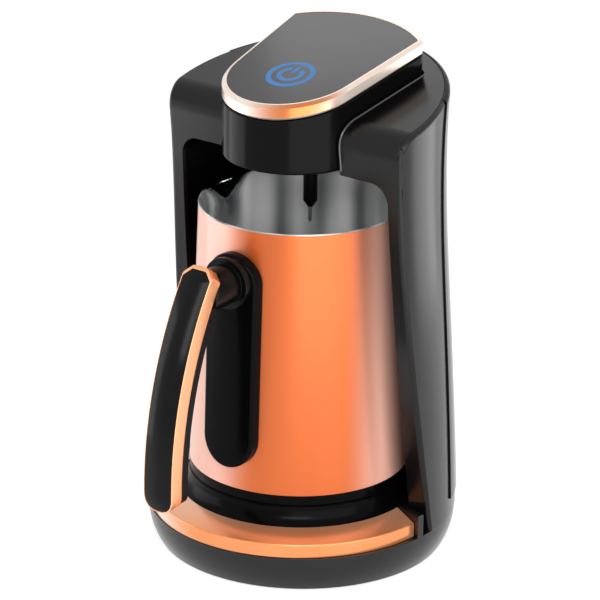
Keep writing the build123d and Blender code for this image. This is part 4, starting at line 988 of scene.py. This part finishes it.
# 0 is the frame's outline, 1 the bed's, 2 the spine; then the depth
frame_profile = np.array(
    [(2.0, PANEL_BED), (1.0, PANEL_BED), (1.0, 0.35), (0.95, 0.12), (0.8, 0.0)]
    + [(0.45, 0.0), (0.2, 0.12), (0.06, 0.4), (0.0, 0.9), (0.0, FRAME_DEPTH - 0.5)]
    + [(0.04, FRAME_DEPTH - 0.1), (0.12, FRAME_DEPTH), (2.0, FRAME_DEPTH)]
)
frame_points = grip_surface([frame_edge, bed_edge, spine_outline(frame_edge)], frame_profile)
make_piece(
    "grip_frame",
    frame_points,
    grid_quads(len(frame_profile), len(frame_edge), close_cols=True),
    finishes["rose_gold"],
    "pot",
    ("handle_trim",),
)

# %% Black panel of the grip
PANEL_PROUD, PANEL_SUNK = 0.9, 0.25  # the crown's middle stands out, its edge lies deeper
PANEL_BACK = PANEL_BED - 0.1
CROWN_STEPS = 12
INWARD_POWER, OUTWARD_POWER = 1.6, 2.6

panel_edge = grip_outline(half=7.75, head=2.1, tail=0.8, cut=3.85, corner=7.5, ease=0.5)
left_over = 1 - np.linspace(0, 1, CROWN_STEPS)
crown_in = 1 - left_over**INWARD_POWER
crown_depth = PANEL_SUNK - (PANEL_PROUD + PANEL_SUNK) * (1 - left_over**OUTWARD_POWER)
crown = np.stack([crown_in, crown_depth], axis=1)
panel_profile = np.concatenate([[(1.0, PANEL_BACK), (0.0, PANEL_BACK)], crown])
panel_spine = spine_outline(panel_edge)
panel_points = grip_surface([panel_edge, panel_spine, panel_spine], panel_profile)
make_piece(
    "grip_panel",
    panel_points,
    grid_quads(len(panel_profile), len(panel_edge), close_cols=True),
    finishes["gloss_black"],
    "pot",
    ("handle_grip",),
)

# %% [markdown]
# ## The lip of the hood's cut-out
# The head stands in a cut-out of the hood, and the cut's edge is turned up into a fine rounded
# lip that catches the light. It climbs the front face, bends over the brow and runs back along
# the tilted deck, so it is a small circle carried along that path, half sunk in the surface.

# %% Path of the lip
TILT = tan(radians(12.5))
DECK_HEIGHT = 215.6  # of the deck's plane at y = 0
BROW_RADIUS, BROW_STEPS = 12.0, 24
FACE_TOP_Y, FACE_TOP_Z, FACE_LEAN = -14.2, 189.6, 0.08
NOSE_Y, NOSE_RADIUS = -5.5, 33.0
HEAD_CORNER = (37.5, 41.5)
LIP_FOOT_Z, LIP_BACK_Y = FACE_TOP_Z + 2.0, 40.0
JUST_SHORT = 0.999  # the straight run stops before the bend, so no two points meet


def brow_path(steps):
    """Path (y, z) up the leaning face, round the brow and back along the deck. The brow is
    (1-t)^2 A + 2t(1-t) P + t^2 B, where face and deck meet at P."""
    deck_turn = np.arctan(TILT)
    face_turn = pi / 2 + np.arctan(FACE_LEAN)
    corner_y = (FACE_TOP_Y - FACE_LEAN * (DECK_HEIGHT - FACE_TOP_Z)) / (1 + FACE_LEAN * TILT)
    corner = np.array([corner_y, DECK_HEIGHT + TILT * corner_y])
    along_deck = np.array([np.cos(deck_turn), np.sin(deck_turn)])
    down_face = -np.array([np.cos(face_turn), np.sin(face_turn)])
    opening = np.arccos(np.dot(along_deck, down_face))
    cut = BROW_RADIUS / np.tan(opening / 2)
    t = np.linspace(0, 1, steps)[:, None]
    start, stop = corner + down_face * cut, corner + along_deck * cut
    bend = (1 - t) ** 2 * start + 2 * t * (1 - t) * corner + t**2 * stop
    foot = np.array([[FACE_TOP_Y, LIP_FOOT_Z]])
    back = np.array([[LIP_BACK_Y, DECK_HEIGHT + TILT * LIP_BACK_Y]])
    deck = stop + (back - stop) * t[1:]
    return np.concatenate([foot + (start - foot) * t[:-1] * JUST_SHORT, bend, deck])


def head_half_width(y):
    """Half width of the head's plan: sqrt(r^2 - (y - nose)^2) round the nose, and from where
    they touch it, straight cheeks that flare to the corners."""
    flare = np.arctan((HEAD_CORNER[0] - NOSE_RADIUS) / (HEAD_CORNER[1] - NOSE_Y))
    joint_x, joint_y = NOSE_RADIUS * np.cos(flare), NOSE_Y - NOSE_RADIUS * np.sin(flare)
    cheek = joint_x + (y - joint_y) * (HEAD_CORNER[0] - joint_x) / (HEAD_CORNER[1] - joint_y)
    nose = np.sqrt(np.maximum(NOSE_RADIUS**2 - (y - NOSE_Y) ** 2, 0))
    return np.where(y > joint_y, cheek, nose)


lip_yz = brow_path(BROW_STEPS)
print("lip path:", len(lip_yz), "points, highest at", round(float(lip_yz[:, 1].max()), 1), "mm")

# %% Lip of the cut-out
HEAD_GROOVE = 0.9
LIP_RADIUS = 0.55
TUBE_SIDES = 12


def tube_surface(path, radius, sides=TUBE_SIDES):
    """Circle carried along a path: centre + radius (cos a * side + sin a * up), where side is
    the X axis made square to the path and up is square to both."""
    ahead = np.gradient(path, axis=0)
    ahead /= np.linalg.norm(ahead, axis=1, keepdims=True)
    side = np.array([1.0, 0, 0]) - ahead * ahead[:, :1]
    side /= np.linalg.norm(side, axis=1, keepdims=True)
    up = np.cross(ahead, side)
    angle = np.linspace(0, 2 * pi, sides, endpoint=False)[None, :, None]
    ring = np.cos(angle) * side[:, None] + np.sin(angle) * up[:, None]
    return path[:, None] + radius * ring


def tube_faces(rows, sides=TUBE_SIDES):
    """Quads of a tube and the two caps that close its ends."""
    caps = [list(range(sides)), [(rows - 1) * sides + i for i in range(sides)]]
    return grid_quads(rows, sides, close_cols=True) + caps


for side_name, side in (("left", -1), ("right", 1)):
    lip_x = side * (head_half_width(lip_yz[:, 0]) + HEAD_GROOVE + LIP_RADIUS)
    lip_path = np.stack([lip_x, lip_yz[:, 0], lip_yz[:, 1]], axis=1)
    make_piece(
        "hood_lip_" + side_name,
        tube_surface(lip_path, LIP_RADIUS),
        tube_faces(len(lip_path)),
        finishes["lip_black"],
        "housing",
    )

# %% [markdown]
# ## The touch key
# The head's plate is one smooth sheet, and the key is only light behind it: a ring with the sign
# for power inside. The signs are thin strips just above the plate, made from arcs, on the tilted
# plane of the plate.

# %% Key shapes
PLATE_TOP = 230.0  # of the band round the plate, at the nose
PLATE_DROP = 0.2
SIGN_PROUD = 0.05
KEY_Y = -8.6
FULL_TURN = 360


def plate_height(y):
    """Height of the head's tilted plate at y."""
    return PLATE_TOP + TILT * (y - NOSE_Y) - PLATE_DROP


def key_strip(inner, outer, start, stop, steps):
    """Flat strip round the key's centre: (r cos a, r sin a) at two radii, on the tilted plate,
    and once more a little above it, so that its section is a thin box."""
    whole = stop - start == FULL_TURN
    angle = np.linspace(radians(start), radians(stop), steps, endpoint=not whole)[:, None]
    radius = np.array([[inner, outer, outer, inner]])
    lift = np.array([[0.0, 0.0, SIGN_PROUD, SIGN_PROUD]])
    x = radius * np.cos(angle)
    y = KEY_Y + radius * np.sin(angle)
    return np.stack([x, y, plate_height(y) + lift], axis=-1)


def key_bar(half, low, high):
    """Flat bar that runs back from the key's centre, with the same four-point section."""
    y = np.array([[low], [high]]) + KEY_Y
    x = np.array([[-half, half, half, -half]])
    lift = np.array([[0.0, 0.0, SIGN_PROUD, SIGN_PROUD]])
    return np.stack([x + 0 * y, y + 0 * x, plate_height(y) + lift], axis=-1)


print("plate at the key:", round(plate_height(KEY_Y), 1), "mm high")

# %% Key light
KEY_ROUGHNESS, KEY_MARKS, KEY_GLOW = 0.35, 0.1, 0.35

key_light, key_tree, key_shader = new_finish(
    "key_light", (0.012, 0.13, 0.42), {"Roughness": KEY_ROUGHNESS, "Specular IOR Level": 0.3}
)
key_glow = place_group(key_tree, handling_marks, Roughness=KEY_ROUGHNESS, Amount=KEY_MARKS)
key_tone = blend_colors(key_tree, key_glow.outputs["Dust"], (0.006, 0.12, 0.36), (0.02, 0.19, 0.5))
key_tree.links.new(key_tone, key_shader.inputs["Base Color"])
key_tree.links.new(key_tone, key_shader.inputs["Emission Color"])
key_tree.links.new(key_glow.outputs["Roughness"], key_shader.inputs["Roughness"])
key_shader.inputs["Emission Strength"].default_value = KEY_GLOW
print("key light glows at", KEY_GLOW)

# %% Touch key
# each strip, and whether it closes on itself
key_parts = [
    (key_strip(inner=8.9, outer=11.4, start=-180, stop=180, steps=96), True),
    (key_strip(inner=4.0, outer=6.4, start=118, stop=422, steps=73), False),
    (key_bar(half=1.0, low=1.2, high=7.4), False),
]
points, faces, count = [], [], 0
for strip, whole in key_parts:
    rows = len(strip)
    points.append(strip.reshape(-1, 3))
    faces += [
        [count + i for i in quad]
        for quad in grid_quads(rows, 4, close_rows=whole, close_cols=True)
    ]
    if not whole:
        faces += [[count + i for i in range(4)], [count + 4 * (rows - 1) + i for i in range(4)]]
    count += 4 * rows
make_piece(
    "touch_sign",
    np.concatenate(points),
    faces,
    key_light,
    "housing",
    crease=30.0,
)
